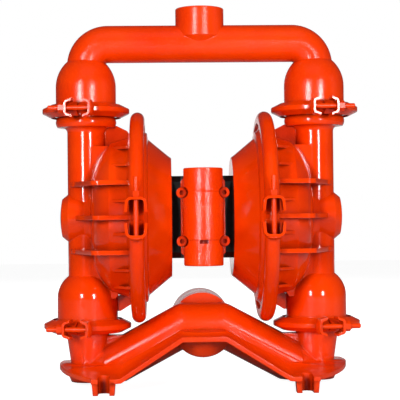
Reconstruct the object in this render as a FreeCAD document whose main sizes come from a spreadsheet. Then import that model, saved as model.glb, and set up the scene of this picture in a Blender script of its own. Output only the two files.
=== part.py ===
"""Air operated double diaphragm pump with clamped metal castings.

Frame: +X along the diaphragm shaft, +Y to the rear, +Z up. The origin lies on the floor,
midway between the four feet. All sizes are in millimetres.
"""
import FreeCAD, Part
import math
import os
import re
import Sketcher

SIZES = [
    # main layout
    ("shaft_height", 201.0, "height of the diaphragm shaft above the floor"),
    ("column_x", 139.0, "distance of each liquid column from the middle"),
    ("joint_x", 76.6, "plane where each diaphragm rim is clamped"),
    ("upper_joint_rise", 129.0, "discharge joint above the shaft"),
    ("lower_joint_drop", 130.0, "inlet joint below the shaft"),
    # diaphragm joint and its clamp band
    ("diaphragm_thickness", 3.0, "thickness of each diaphragm"),
    ("flange_edge", 1.5, "thickness of a chamber flange at its rim"),
    ("flange_radius", 121.0, "outer radius of the chamber flanges"),
    ("flange_root", 110.0, "radius where the flange taper ends"),
    ("clamp_taper", 0.29, "axial growth of a flange per mm of radius"),
    ("clamp_fit", 0.2, "gap between a flange taper and its clamp leg"),
    ("clamp_radius", 127.4, "outer radius of the large clamp"),
    ("clamp_half_width", 8.5, "half of the large clamp's width at its legs"),
    ("clamp_leg_radius", 113.0, "radius at the tips of the clamp legs"),
    ("clamp_strip", 3.0, "strip thickness of the large clamp"),
    ("clamp_split", 1.6, "half of the split between the band halves, in degrees"),
    ("ear_rise", 22.9, "outer face of a large ear from the split"),
    ("ear_tip", 6.3, "tips of a large ear from the split"),
    ("ear_half_width", 12.9, "half width over a large ear's legs"),
    ("ear_flat", 5.0, "half width of a large ear's flat"),
    ("ear_bend", 7.0, "outer bend of a large ear's shoulders"),
    ("ear_strip", 3.1, "strip thickness of the ears"),
    ("ear_reach", 17.0, "reach of a large ear beyond the band"),
    ("large_bolt_reach", 9.5, "large clamp bolt axis beyond the band"),
    # clamp bolts and nuts
    ("bolt_radius", 3.0, "radius of the clamp bolts"),
    ("bolt_gap", 0.3, "radial clearance of a bolt in its ear"),
    ("bolt_head_radius", 9.0, "radius of a clamp bolt's round head"),
    ("bolt_head_height", 3.4, "height of a clamp bolt's round head"),
    ("large_bolt_length", 69.0, "length of a large clamp bolt under its head"),
    ("small_bolt_length", 51.0, "length of a small clamp bolt under its head"),
    ("nut_radius", 6.2, "corner radius of the clamp nuts"),
    ("nut_height", 6.5, "height of the clamp nuts"),
    ("thread_gap", 0.05, "gap between a thread and its nut"),
    # manifold joints and their clamp bands
    ("small_flange_radius", 47.5, "outer radius of the manifold flanges"),
    ("small_flange_root", 40.0, "radius where that flange's taper ends"),
    ("small_flange_edge", 2.0, "thickness of a manifold flange at its rim"),
    ("small_taper_slope", 0.5, "growth of a manifold flange per mm of radius"),
    ("small_flange_depth", 7.0, "thickness of a manifold flange at its root"),
    ("small_clamp_radius", 52.6, "outer radius of a small clamp"),
    ("small_clamp_half_height", 8.0, "half of a small clamp's height at its leg tips"),
    ("small_clamp_leg_radius", 42.0, "radius at the tips of its legs"),
    ("small_clamp_strip", 2.6, "strip thickness of a small clamp"),
    ("small_clamp_crown", 2.2, "half height of its round crown"),
    ("small_clamp_split", 3.0, "half of its split, in degrees"),
    ("upper_clamp_turn", 6.0, "turn of the upper clamps' bolts from the front, in degrees"),
    ("lower_clamp_turn", 10.0, "turn of the lower clamps' bolts from the front, in degrees"),
    ("small_ear_rise", 15.8, "outer face of a small ear from the split"),
    ("small_ear_tip", 6.4, "tips of a small ear from the split"),
    ("small_ear_half_width", 11.5, "half height over a small ear's legs"),
    ("small_ear_flat", 4.6, "half height of a small ear's flat"),
    ("small_ear_bend", 5.0, "outer bend of a small ear's shoulders"),
    ("small_ear_reach", 14.0, "reach of a small ear beyond the band"),
    ("small_bolt_reach", 8.4, "small clamp bolt axis beyond the band"),
    # liquid chamber
    ("chamber_wall", 6.0, "wall of the chamber castings"),
    ("dish_start_x", 88.0, "start of the dish behind its flange"),
    ("dish_radius", 98.0, "radius of the dish behind its flange"),
    ("shoulder_x", 109.0, "place of the dish's shoulder"),
    ("shoulder_radius", 91.0, "radius of the dish's shoulder"),
    ("dome_x", 131.0, "place where the dish's dome meets the boss"),
    ("dome_radius", 45.0, "radius where the dome meets the boss"),
    ("dome_bend", 62.0, "bend of the dish's dome"),
    ("boss_radius", 30.0, "radius of the round boss on the shaft line"),
    ("boss_side_x", 160.0, "end of the boss's straight side"),
    ("boss_face_radius", 23.0, "radius of the boss's end face inside its bevel"),
    ("boss_end_x", 171.0, "outer end of the boss"),
    ("pipe_radius", 22.9, "outer radius of the liquid column"),
    ("pipe_bore", 17.0, "bore of the liquid column"),
    ("bell_radius", 36.4, "outer radius of the ball bells"),
    ("bell_bore", 30.9, "bore of the ball bells"),
    ("lower_bell_full", 96.8, "drop where the lower bell is full"),
    ("lower_bell_top", 69.8, "drop where the lower bell meets the column"),
    ("lower_bell_bend", 34.0, "bend of the lower bell's dome"),
    ("bead_radius", 34.6, "neck radius beside the round bead"),
    ("bead_top", 121.5, "top of the neck bead above the shaft"),
    ("bead_bottom", 109.5, "bottom of the neck bead above the shaft"),
    ("bead_bend", 10.0, "bend of the neck bead"),
    ("neck_cove", 6.0, "bend of the cove under the bead"),
    ("hood_top", 86.0, "top of the passage hood above the shaft"),
    ("hood_width", 22.0, "half width of the passage hood"),
    ("hood_start_x", 96.0, "inner end of the passage hood"),
    ("passage_half_height", 44.0, "half height of the chamber's passage"),
    ("passage_half_width", 12.0, "half width of the chamber's passage"),
    ("fin_thickness", 5.3, "thickness of the large fins at their middle"),
    ("fin_spacing", 40.0, "height between the large fins"),
    ("fin_start_x", 82.0, "inner end of the fins"),
    ("fin_reach", 106.0, "reach of the middle fin to front and rear"),
    ("outer_fin_reach", 99.0, "reach of the upper and lower fins"),
    ("fin_corner_x", 125.0, "corner of the middle fin"),
    ("outer_fin_corner_x", 127.0, "corner of the upper and lower fins"),
    ("fin_tip_x", 154.0, "outer tip of the fins"),
    ("fin_tip_y", 22.0, "half width of the fins at their tip"),
    ("rib_thickness", 3.4, "thickness of the short ribs"),
    ("inner_rib_rise", 19.0, "inner pair of short ribs from the shaft"),
    ("middle_rib_rise", 61.0, "middle pair of short ribs from the shaft"),
    ("outer_rib_rise", 82.0, "outer pair of short ribs from the shaft"),
    ("rib_radius", 104.0, "radius of the short ribs at the flange"),
    ("rib_end_x", 106.0, "outer end of the short ribs"),
    ("web_thickness", 6.0, "thickness of the gusset webs"),
    ("web_top", 111.5, "top of the upper gusset above the shaft"),
    ("web_foot", 113.0, "foot of the lower gusset below the shaft"),
    # air chamber
    ("air_face_x", 36.3, "inner face of the air chamber"),
    ("air_face_radius", 73.5, "radius of that face"),
    ("air_edge", 3.5, "chamfer at that face"),
    ("air_cone_x", 63.7, "outer end of the air chamber's cone"),
    ("air_cone_radius", 94.3, "radius at the end of the cone"),
    ("air_floor", 8.0, "thickness of the air chamber's floor"),
    ("hub_bore", 17.0, "hole for the shaft seal hub"),
    # centre block
    ("gasket_thickness", 1.5, "thickness of the centre gaskets"),
    ("block_half_height", 48.5, "half height of the centre block"),
    ("block_front", 52.0, "front face of the centre block"),
    ("block_rear", 56.0, "rear face of the centre block"),
    ("block_corner", 7.0, "chamfer of the centre block's edges"),
    ("inlet_port_radius", 9.3, "tapped bore of the air inlet"),
    ("inlet_port_rise", 25.0, "air inlet above the shaft"),
    ("exhaust_port_radius", 11.9, "tapped bore of the air exhaust"),
    ("exhaust_port_drop", 22.0, "air exhaust below the shaft"),
    ("port_depth", 20.0, "depth of the tapped air ports"),
    ("air_way", 5.0, "radius of the drilled airways"),
    ("air_way_rise", 22.0, "upper and lower airways from the shaft"),
    # shaft, pistons and diaphragms
    ("shaft_radius", 9.5, "radius of the diaphragm shaft"),
    ("shaft_stud", 8.0, "radius of the studs at the shaft's ends"),
    ("running_gap", 0.05, "radial clearance of running fits"),
    ("bushing_radius", 13.0, "outer radius of the shaft bushings"),
    ("bushing_length", 14.0, "length of each shaft bushing"),
    ("seal_radius", 12.0, "outer radius of the shaft seals"),
    ("seal_width", 4.0, "width of each shaft seal"),
    ("shaft_stroke", 18.0, "travel of the shaft each way"),
    ("piston_radius", 60.0, "radius of the pistons"),
    ("piston_thickness", 8.0, "thickness of each piston at its hub"),
    ("piston_rim", 3.0, "thickness of each piston at its rim"),
    ("hub_offset", 5.0, "offset of the diaphragm's hub from its rim"),
    ("diaphragm_hub_radius", 64.0, "radius of the diaphragm's flat hub"),
    ("diaphragm_rim_radius", 100.0, "inner radius of its flat rim"),
    ("diaphragm_bend", 27.0, "bend of the diaphragm's convolution"),
    ("rim_inset", 0.5, "diaphragm edge inside the flange's edge"),
    # pilot valve
    ("pilot_radius", 5.0, "radius of the pilot spool"),
    ("pilot_y", 22.0, "pilot spool behind the shaft"),
    ("pilot_rise", 36.0, "pilot spool above the shaft"),
    ("pilot_stroke", 5.0, "travel of the pilot spool each way"),
    ("pilot_sleeve_radius", 7.0, "outer radius of the pilot sleeve"),
    ("stop_gap", 0.4, "gap left at the end of a stroke"),
    # air valve
    ("valve_y", 74.0, "air valve axis before the shaft"),
    ("valve_radius", 22.9, "radius of the valve's ends"),
    ("valve_belly_radius", 23.9, "radius of the valve's middle"),
    ("valve_half_height", 56.5, "half height of the valve"),
    ("belly_top", 29.0, "top of the valve's middle"),
    ("belly_bottom", 26.5, "bottom of the valve's middle"),
    ("valve_flange_half_width", 25.9, "half width of the valve's flange"),
    ("valve_flange_half_height", 47.8, "half height of the valve's flange"),
    ("valve_flange_depth", 10.0, "thickness of the valve's flange"),
    ("valve_screw_x", 24.8, "valve screws from the middle"),
    ("valve_screw_z", 28.3, "valve screws above and below the shaft"),
    ("valve_lug_radius", 6.4, "radius of the lugs round the valve screws"),
    ("valve_gasket_thickness", 1.5, "thickness of the valve gasket"),
    ("spool_radius", 12.0, "radius of the main spool's lands"),
    ("spool_waist", 7.5, "radius between the lands"),
    ("spool_stroke", 12.0, "travel of the main spool"),
    ("cap_radius", 17.0, "radius of the valve end caps"),
    ("cap_height", 9.0, "height of the valve end caps"),
    ("vent_half_width", 5.0, "half width of the vent under the belly"),
    ("vent_height", 4.2, "height of the vent"),
    ("vent_depth", 8.5, "depth of the vent"),
    # cap screws
    ("screw_radius", 3.0, "radius of the cap screws"),
    ("screw_head_radius", 6.0, "radius of the cap screw heads"),
    ("screw_head_height", 6.0, "height of the cap screw heads"),
    ("socket_radius", 2.9, "corner radius of their hex sockets"),
    ("socket_depth", 4.0, "depth of their hex sockets"),
    ("spot_gap", 1.0, "clearance of the spot faces round the screw heads"),
    ("screw_bite", 16.0, "length of a cap screw in its tapped hole"),
    ("centre_screw_y", 26.0, "air chamber screws before and behind the shaft"),
    ("centre_screw_z", 24.0, "air chamber screws above and below the shaft"),
    # balls and seats
    ("ball_radius", 23.8, "radius of the valve balls"),
    ("ball_gap", 0.3, "gap between a resting ball and its seat"),
    ("ball_lift", 10.0, "lift of a ball off its seat"),
    ("cage_gap", 0.7, "gap between a ball and its cage ribs"),
    ("cage_rib", 5.0, "thickness of the cage ribs"),
    ("seat_bore", 16.5, "bore of the valve seats"),
    ("seat_height", 8.0, "height of the valve seats"),
    ("seat_land", 3.0, "straight land under the seat's cone"),
    ("seat_gap", 0.2, "gap round the valve seats"),
    ("o_ring_radius", 26.0, "middle radius of the seat O-rings"),
    ("o_ring_section", 1.4, "section radius of the seat O-rings"),
    # discharge manifold
    ("bridge_rise", 210.8, "centre of the discharge pipe above the shaft"),
    ("bridge_radius", 22.6, "outer radius of the discharge pipe"),
    ("elbow_bend", 27.0, "bend of the discharge elbows"),
    ("upper_bell_full", 158.0, "rise where the upper bell is full"),
    ("upper_bell_top", 187.0, "rise where the upper bell meets the elbow"),
    ("upper_bell_neck", 25.2, "radius of the bell at its top"),
    ("upper_bell_bend", 42.6, "bend of the upper bell's dome"),
    ("outlet_radius", 29.4, "outer radius of the discharge port boss"),
    ("outlet_top", 253.2, "top of that boss above the shaft"),
    ("outlet_foot", 219.0, "lower end of its straight side"),
    ("outlet_thread", 19.4, "tapped bore of the discharge port"),
    ("outlet_thread_depth", 26.0, "depth of that thread"),
    ("mouth_chamfer", 1.6, "chamfer at the mouths of the ports"),
    # inlet manifold
    ("arm_drop", 130.5, "centre of the inlet port below the shaft"),
    ("arm_radius", 26.0, "outer radius of the inlet arms"),
    ("arm_bend_x", 22.0, "start of the slope of each arm"),
    ("arm_angle", 28.2, "slope of the arms, in degrees"),
    ("arm_length", 124.0, "length of each sloping arm"),
    ("belly_height", 3.5, "lowest face of the manifold above the floor"),
    ("arm_bore", 14.5, "bore of the arms"),
    ("arm_bore_start_x", 12.0, "start of the arm's bore"),
    ("arm_bore_angle", 20.0, "slope of the arm's bore, in degrees"),
    ("arm_bore_length", 128.5, "length of the arm's bore"),
    ("foot_neck_top", 25.5, "radius of the inlet neck under its flange"),
    ("foot_neck_bottom", 20.5, "radius of the inlet neck at the foot plate"),
    ("ledge_drop", 142.0, "ledge between each arm and its neck, below the shaft"),
    ("ledge_width", 18.0, "width of that ledge"),
    ("inlet_radius", 37.5, "outer radius of the inlet port boss"),
    ("inlet_front", 30.0, "end of that boss's straight side at the front"),
    ("inlet_dome", 46.0, "front of that boss's dome"),
    ("inlet_rear", 122.0, "rear face of the inlet port boss"),
    ("inlet_thread", 22.2, "tapped bore of the inlet port"),
    ("inlet_thread_depth", 28.0, "depth of that thread"),
    ("inlet_bore", 20.0, "bore behind that thread"),
    ("plate_height", 13.2, "underside of the foot plates above the floor at their edges"),
    ("plate_thickness", 5.2, "thickness of the foot plates"),
    ("plate_slope_rise", 7.5, "rise of the plate from its edges to the arms"),
    ("plate_bend_x", 96.0, "bend of the plate at each foot"),
    ("plate_middle_x", 25.0, "bend of the plate near the middle"),
    ("plate_middle_drop", 17.6, "underside of the plate's middle below the inlet port"),
    ("plate_arc_radius", 141.0, "radius of the rounded ends of the plate"),
    ("plate_arc_x", 32.0, "centre of those rounded ends"),
    ("plate_corner_x", 130.0, "front corner of the plate"),
    ("plate_middle_reach", 75.0, "reach of the plate in the middle"),
    ("plate_foot_reach", 108.0, "reach of the plate at the feet"),
    ("slot_x", 115.8, "centre line of the foot slots"),
    ("slot_radius", 6.5, "half width of the foot slots"),
    ("slot_end", 91.5, "centre of the slots' round ends"),
    ("pad_wall", 6.7, "wall of the foot pads round the slots"),
    ("pad_draft", 5.0, "draft of the foot pads, in degrees"),
]
ALIASES = {alias for alias, value, meaning in SIZES}

doc = FreeCAD.newDocument("DiaphragmPump")
dims = doc.addObject("Spreadsheet::Sheet", "Dims")
for row, (alias, value, meaning) in enumerate(SIZES, start=1):
    dims.set("A%d" % row, meaning)
    dims.set("B%d" % row, str(value))
    dims.setAlias("B%d" % row, alias)
doc.recompute()
parts = []


def tied(expression):
    """The expression with each size name pointed at the sheet."""
    return re.sub(
        r"[a-z][a-z_0-9]*",
        lambda word: "Dims." + word.group(0) if word.group(0) in ALIASES else word.group(0),
        expression,
    )


def number(expression):
    return float(dims.evalExpression(tied(expression)))


def tie(target, prop, expression):
    target.setExpression(prop, tied(expression))


def part(item, label):
    """Keeps a finished sub-part under the name of its file."""
    item.Label = label
    parts.append(item)
    return item


def origin_item(body, role):
    return [item for item in body.Origin.OriginFeatures if item.Role == role][0]


def new_sketch(body, role, shift=("0", "0", "0"), turn=None):
    """A sketch on one of the body's own planes, moved and turned within it."""
    sketch = body.newObject("Sketcher::SketchObject", body.Name + "_sketch")
    sketch.AttachmentSupport = (origin_item(body, role), [""])
    sketch.MapMode = "FlatFace"
    for axis, amount in zip("xyz", shift):
        tie(sketch, "AttachmentOffset.Base." + axis, amount)
    if turn:
        sketch.AttachmentOffset = FreeCAD.Placement(
            sketch.AttachmentOffset.Base, FreeCAD.Rotation(FreeCAD.Vector(0, 0, 1), number(turn)))
        tie(sketch, "AttachmentOffset.Rotation.Angle", turn)
    sketch.Visibility = False
    return sketch


def arc_between(start, end, bend):
    """Arc from start to end; a positive bend turns to the left on the way."""
    chord = end - start
    side = 1 if bend > 0 else -1
    normal = FreeCAD.Vector(-chord.y, chord.x, 0).normalize()
    height = math.sqrt(max(0, bend * bend - chord.Length * chord.Length / 4))
    centre = (start + end) * 0.5 + normal * side * height
    first = math.atan2(start.y - centre.y, start.x - centre.x)
    last = math.atan2(end.y - centre.y, end.x - centre.x)
    if side < 0:
        first, last = last, first
    if last < first:
        last += 2 * math.pi
    return Part.ArcOfCircle(Part.Circle(centre, FreeCAD.Vector(0, 0, 1), abs(bend)), first, last)


def round_end(start, end):
    """Quarter of a round end whose centre lies on the sketch's axis, as its arc does."""
    tip, side = (start, end) if min(abs(start.x), abs(start.y)) < 1e-9 else (end, start)
    along_x = abs(tip.y) < 1e-9
    reach, height, far = (side.x, side.y, tip.x) if along_x else (side.y, side.x, tip.y)
    middle = (reach * reach + height * height - far * far) / (2 * (reach - far))
    centre = FreeCAD.Vector(middle, 0, 0) if along_x else FreeCAD.Vector(0, middle, 0)
    turn = (start - centre).cross(end - centre).z
    return math.copysign(abs(far - middle), turn), -1 if along_x else -2


def draw(sketch, corners, closed=True):
    """Outline through corners tied to the sheet; a third item bends the side that follows."""
    places = [FreeCAD.Vector(number(corner[0]), number(corner[1]), 0) for corner in corners]
    count = len(corners) if closed else len(corners) - 1
    ends = []
    for index in range(count):
        start = places[index]
        end = places[(index + 1) % len(places)]
        if len(corners[index]) > 2 and corners[index][2] == "round":
            bend, axis = round_end(start, end)
            side = sketch.addGeometry(arc_between(start, end, bend), False)
            ends.append((side, 1, 2) if bend > 0 else (side, 2, 1))
            sketch.addConstraint(Sketcher.Constraint("PointOnObject", side, 3, axis))
        elif len(corners[index]) > 2:
            bend = number(corners[index][2])
            side = sketch.addGeometry(arc_between(start, end, bend), False)
            ends.append((side, 1, 2) if bend > 0 else (side, 2, 1))
            rule = sketch.addConstraint(Sketcher.Constraint("Radius", side, abs(bend)))
            tie(sketch, "Constraints[%d]" % rule, "abs(%s)" % corners[index][2])
        else:
            side = sketch.addGeometry(Part.LineSegment(start, end), False)
            ends.append((side, 1, 2))
    for index, (side, first, last) in enumerate(ends):
        pin(sketch, side, first, corners[index], places[index])
        if index or closed:
            before = ends[index - 1]
            sketch.addConstraint(Sketcher.Constraint("Coincident", before[0], before[2], side, first))
    if not closed:
        pin(sketch, ends[-1][0], ends[-1][2], corners[-1], places[-1])
    return sketch


def pin(sketch, side, end, corner, place):
    """Ties one end of a side to its two distances from the sketch's origin."""
    for axis, kind in enumerate(("DistanceX", "DistanceY")):
        rule = sketch.addConstraint(Sketcher.Constraint(kind, side, end, place[axis]))
        tie(sketch, "Constraints[%d]" % rule, corner[axis])


def draw_circle(sketch, across, up, radius):
    centre = FreeCAD.Vector(number(across), number(up), 0)
    circle = sketch.addGeometry(Part.Circle(centre, FreeCAD.Vector(0, 0, 1), number(radius)), False)
    pin(sketch, circle, 3, (across, up), centre)
    rule = sketch.addConstraint(Sketcher.Constraint("Radius", circle, number(radius)))
    tie(sketch, "Constraints[%d]" % rule, radius)
    return sketch


def new_body(name):
    return doc.addObject("PartDesign::Body", name)


def revolve(body, sketch, axis="H_Axis", cut=False, angle=None):
    """Turns a sketch about its own axis, all round or evenly to both sides."""
    kind = "PartDesign::Groove" if cut else "PartDesign::Revolution"
    feature = body.newObject(kind, body.Name + "_turn")
    feature.Profile = sketch
    feature.ReferenceAxis = (sketch, [axis])
    feature.Angle = 360
    if angle:
        feature.Midplane = True
        tie(feature, "Angle", angle)
    return feature


def pad(body, sketch, length, both=True, cut=False, reverse=False, draft=None):
    """Raises or cuts a sketch along its normal, to both sides or to one."""
    kind = "PartDesign::Pocket" if cut else "PartDesign::Pad"
    feature = body.newObject(kind, body.Name + "_pad")
    feature.Profile = sketch
    feature.SideType = "Symmetric" if both else "One side"
    feature.Reversed = reverse
    tie(feature, "Length", length)
    if draft:
        tie(feature, "TaperAngle", draft)
    return feature


def turned(name, corners, shift=("0", "shaft_height", "0"), axis="H_Axis"):
    """A body turned in one piece from its half section."""
    body = new_body(name)
    revolve(body, draw(new_sketch(body, "XZ_Plane", shift), corners), axis)
    return body


def ring_pattern(body, feature, sketch, count):
    pattern = body.newObject("PartDesign::PolarPattern", body.Name + "_pattern")
    pattern.Originals = [feature]
    pattern.Axis = (sketch, ["V_Axis"])
    pattern.Angle = 360
    pattern.Occurrences = count
    body.Tip = pattern
    return pattern


def mirrored(source, label, normal=(1, 0, 0), height=None):
    """The opposite hand of a piece."""
    mirror = doc.addObject("Part::Mirroring", label)
    mirror.Source = source
    mirror.Normal = FreeCAD.Vector(normal)
    if height:
        tie(mirror, "Base.z", height)
    return mirror


def group(label, items):
    """Several loose solids that share one file."""
    compound = doc.addObject("Part::Compound", label)
    compound.Links = items
    return compound


def pair(make, *names):
    """A right-hand piece and its mirror image on the left."""
    right = part(make(*names), names[0] + "_right")
    part(mirrored(right, names[0] + "_left"), names[0] + "_left")
    return right


FLANGE_FACE = "joint_x + diaphragm_thickness / 2"
RIM_BACK = FLANGE_FACE + " + flange_edge"
ROOT_BACK = RIM_BACK + " + clamp_taper * (flange_radius - flange_root)"


def across_joint(expression):
    """The same place on the other side of the diaphragm's plane."""
    return "2 * joint_x - (%s)" % expression


def small_taper(radius):
    """Half height of a manifold flange at a radius on its taper."""
    return "small_flange_edge + small_taper_slope * (small_flange_radius - (%s))" % radius


def air_chamber(name):
    body = new_body(name)
    outer = [
        ("air_face_x", "0"),
        ("air_face_x", "air_face_radius - air_edge / 2"),
        ("air_face_x + air_edge", "air_face_radius + air_edge / 4"),
        ("air_cone_x", "air_cone_radius"),
        (across_joint("dish_start_x"), "dish_radius + 4", "8"),
        (across_joint(ROOT_BACK), "flange_root"),
        (across_joint(RIM_BACK), "flange_radius"),
        (across_joint(FLANGE_FACE), "flange_radius"),
        (across_joint(FLANGE_FACE), "0"),
    ]
    revolve(body, draw(new_sketch(body, "XZ_Plane", ("0", "shaft_height", "0")), outer))
    hollow = [
        ("air_face_x + air_floor", "0"),
        ("air_face_x + air_floor", "air_face_radius - 9", "-6"),
        ("air_face_x + air_floor + 4", "air_face_radius - 3.5"),
        ("air_cone_x + 1.5", "air_cone_radius - chamber_wall"),
        (across_joint(FLANGE_FACE), "flange_root - chamber_wall"),
        (across_joint(FLANGE_FACE) + " + 1", "flange_root - chamber_wall"),
        (across_joint(FLANGE_FACE) + " + 1", "0"),
    ]
    revolve(body, draw(new_sketch(body, "XZ_Plane", ("0", "shaft_height", "0")), hollow), cut=True)
    holes = new_sketch(body, "YZ_Plane", ("0", "shaft_height", "air_face_x + air_floor / 2"))
    draw_circle(holes, "0", "0", "hub_bore")
    draw_circle(holes, "pilot_y", "pilot_rise", "pilot_sleeve_radius + running_gap")
    draw_circle(holes, "-block_front / 2", "0", "air_way")
    for front in ("-", ""):
        for low in ("-", ""):
            draw_circle(holes, front + "centre_screw_y", low + "centre_screw_z", "screw_radius + bolt_gap")
    pad(body, holes, "air_floor + 2", cut=True)
    return body


def liquid_chamber(name):
    body = new_body(name)
    dish = [
        (FLANGE_FACE, "0"),
        (FLANGE_FACE, "flange_radius"),
        (RIM_BACK, "flange_radius"),
        (ROOT_BACK, "flange_root"),
        ("dish_start_x", "dish_radius", "12"),
        ("dish_start_x + 5", "dish_radius - 2.5"),
        ("shoulder_x", "shoulder_radius", "-dome_bend"),
        ("dome_x", "dome_radius"),
        ("dome_x + 2", "boss_radius + 4", "20"),
        ("dome_x + 10", "boss_radius"),
        ("boss_side_x", "boss_radius"),
        ("boss_end_x - 2.5", "boss_face_radius", "round"),
        ("boss_end_x", "0"),
    ]
    revolve(body, draw(new_sketch(body, "XZ_Plane", ("0", "shaft_height", "0")), dish))
    column = [
        ("0", "upper_joint_rise"),
        ("small_flange_radius", "upper_joint_rise"),
        ("small_flange_radius", "upper_joint_rise - small_flange_edge"),
        ("small_flange_root", "upper_joint_rise - (%s)" % small_taper("small_flange_root")),
        ("bead_radius + 1.5", "upper_joint_rise - small_flange_depth"),
        ("bead_radius", "bead_top", "-bead_bend"),
        ("bead_radius", "bead_bottom"),
        ("pipe_radius + neck_cove", "bead_bottom - 0.5", "neck_cove"),
        ("pipe_radius", "bead_bottom - neck_cove"),
        ("pipe_radius", "-lower_bell_top", "-lower_bell_bend"),
        ("bell_radius", "-lower_bell_full"),
        ("bell_radius", "-lower_joint_drop + small_flange_depth + 2", "2"),
        ("bell_radius + 2", "-lower_joint_drop + small_flange_depth"),
        ("small_flange_root", "-lower_joint_drop + %s" % small_taper("small_flange_root")),
        ("small_flange_radius", "-lower_joint_drop + small_flange_edge"),
        ("small_flange_radius", "-lower_joint_drop"),
        ("0", "-lower_joint_drop"),
    ]
    upright = new_sketch(body, "XZ_Plane", ("column_x", "shaft_height", "0"))
    revolve(body, draw(upright, column), "V_Axis")
    hood = [
        ("hood_start_x", "hood_top - 20"),
        ("hood_start_x + 8", "hood_top"),
        ("column_x", "hood_top"),
        ("column_x", "-lower_bell_full"),
        ("hood_start_x + 8", "-lower_bell_full"),
        ("hood_start_x", "-lower_bell_full + 14"),
    ]
    pad(body, draw(new_sketch(body, "XZ_Plane", ("0", "shaft_height", "0")), hood), "2 * hood_width")
    for level, reach, corner in (
        ("0", "fin_reach", "fin_corner_x"),
        ("fin_spacing", "outer_fin_reach", "outer_fin_corner_x"),
        ("-fin_spacing", "outer_fin_reach", "outer_fin_corner_x"),
    ):
        fin = [
            ("fin_start_x", "-" + reach),
            (corner + " - 6", "-" + reach, "12"),
            (corner + " + 2", "-%s + 5" % reach),
            ("fin_tip_x - 2", "-fin_tip_y - 4", "12"),
            ("fin_tip_x + 3", "-fin_tip_y + 9"),
            ("fin_tip_x + 3", "fin_tip_y - 9", "12"),
            ("fin_tip_x - 2", "fin_tip_y + 4"),
            (corner + " + 2", "%s - 5" % reach, "12"),
            (corner + " - 6", reach),
            ("fin_start_x", reach),
        ]
        plan = new_sketch(body, "XY_Plane", ("0", "0", "shaft_height + (%s)" % level))
        pad(body, draw(plan, fin), "fin_thickness")
    for level in ("inner_rib_rise", "middle_rib_rise", "outer_rib_rise"):
        for side in ("", "-"):
            start = "sqrt(rib_radius^2 - %s^2)" % level
            end = "sqrt(shoulder_radius^2 - %s^2)" % level
            rib = [
                ("fin_start_x", "-" + start),
                ("dish_start_x + 1", "-" + start),
                ("rib_end_x", "-" + end),
                ("rib_end_x", end),
                ("dish_start_x + 1", start),
                ("fin_start_x", start),
            ]
            plan = new_sketch(body, "XY_Plane", ("0", "0", "shaft_height + (%s)" % (side + level)))
            pad(body, draw(plan, rib), "rib_thickness")
    webs = [
        [
            ("column_x - pipe_radius - 2", "web_top"),
            ("dish_start_x + 14", "web_top"),
            ("dish_start_x + 1", "web_top - 6.5"),
            ("dish_start_x - 4", "dish_radius"),
            ("dish_start_x + 3", "dish_radius - 18"),
            ("column_x - pipe_radius + 4", "dish_radius - 18"),
            ("column_x - pipe_radius + 4", "web_top - 3.5"),
        ],
        [
            ("shoulder_x - 3", "-web_foot + 19"),
            ("dish_start_x", "-web_foot + 19"),
            ("dish_start_x - 4", "-web_foot + 13"),
            ("dish_start_x - 2", "-web_foot + 8"),
            ("dish_start_x + 11", "-web_foot"),
            ("shoulder_x - 3", "-web_foot"),
        ],
    ]
    for web in webs:
        pad(body, draw(new_sketch(body, "XZ_Plane", ("0", "shaft_height", "0")), web), "web_thickness")
    hollow = [
        (FLANGE_FACE + " - 1", "0"),
        (FLANGE_FACE + " - 1", "flange_root - chamber_wall + 2"),
        (FLANGE_FACE, "flange_root - chamber_wall + 2"),
        (FLANGE_FACE + " + 3.5", "flange_root - chamber_wall + 1"),
        ("dish_start_x - 3", "dish_radius - chamber_wall + 0.5"),
        ("shoulder_x - 1", "shoulder_radius - chamber_wall", "-dome_bend + chamber_wall"),
        ("dome_x - chamber_wall - 1", "dome_radius - 2"),
        ("dome_x - chamber_wall", "0"),
    ]
    revolve(body, draw(new_sketch(body, "XZ_Plane", ("0", "shaft_height", "0")), hollow), cut=True)
    bore = [
        ("0", "upper_joint_rise + 1"),
        ("pipe_bore", "upper_joint_rise + 1"),
        ("pipe_bore", "-lower_bell_top - chamber_wall", "-lower_bell_bend + 11"),
        ("bell_bore", "-lower_bell_full"),
        ("bell_bore", "-lower_joint_drop - 1"),
        ("0", "-lower_joint_drop - 1"),
    ]
    revolve(body, draw(new_sketch(body, "XZ_Plane", ("column_x", "shaft_height", "0")), bore), "V_Axis",
            cut=True)
    passage = [
        ("dome_x - chamber_wall - 12", "-passage_half_height"),
        ("column_x", "-passage_half_height"),
        ("column_x", "passage_half_height"),
        ("dome_x - chamber_wall - 12", "passage_half_height"),
    ]
    pad(body, draw(new_sketch(body, "XZ_Plane", ("0", "shaft_height", "0")), passage),
        "2 * passage_half_width", cut=True)
    o_ring_groove(body, "upper_joint_rise")
    cage(body, "-lower_joint_drop", [
        ("bell_radius - 2.5", "-lower_bell_full"),
        ("bell_radius - 5", "-lower_bell_full + 11"),
        ("pipe_radius - 1", "-lower_bell_top - 6"),
    ])
    return body


BALL_REST = "seat_land + ball_radius * sqrt(2) - seat_bore + ball_gap"


def cage(body, joint, wall, side=""):
    """Four ribs that guide a ball and stop it at the top of its lift."""
    top = "%s + %s + ball_lift" % (joint, BALL_REST)
    clear = "ball_radius + cage_gap"
    slant = "(%s) * 1.4142 + 0.3" % clear
    inner = "pipe_bore - 2.5"
    rib = [
        (clear, joint + " + seat_height + seat_gap"),
        (clear, "%s + %s - (%s)" % (top, slant, clear)),
        (inner, "%s + %s - (%s)" % (top, slant, inner)),
    ]
    rib = [(wall[0][0], joint + " + seat_height + seat_gap")] + list(wall) + rib[::-1]
    profile = new_sketch(body, "XZ_Plane", (side + "column_x", "shaft_height", "0"))
    ring_pattern(body, pad(body, draw(profile, rib), "cage_rib"), profile, 4)


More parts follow.
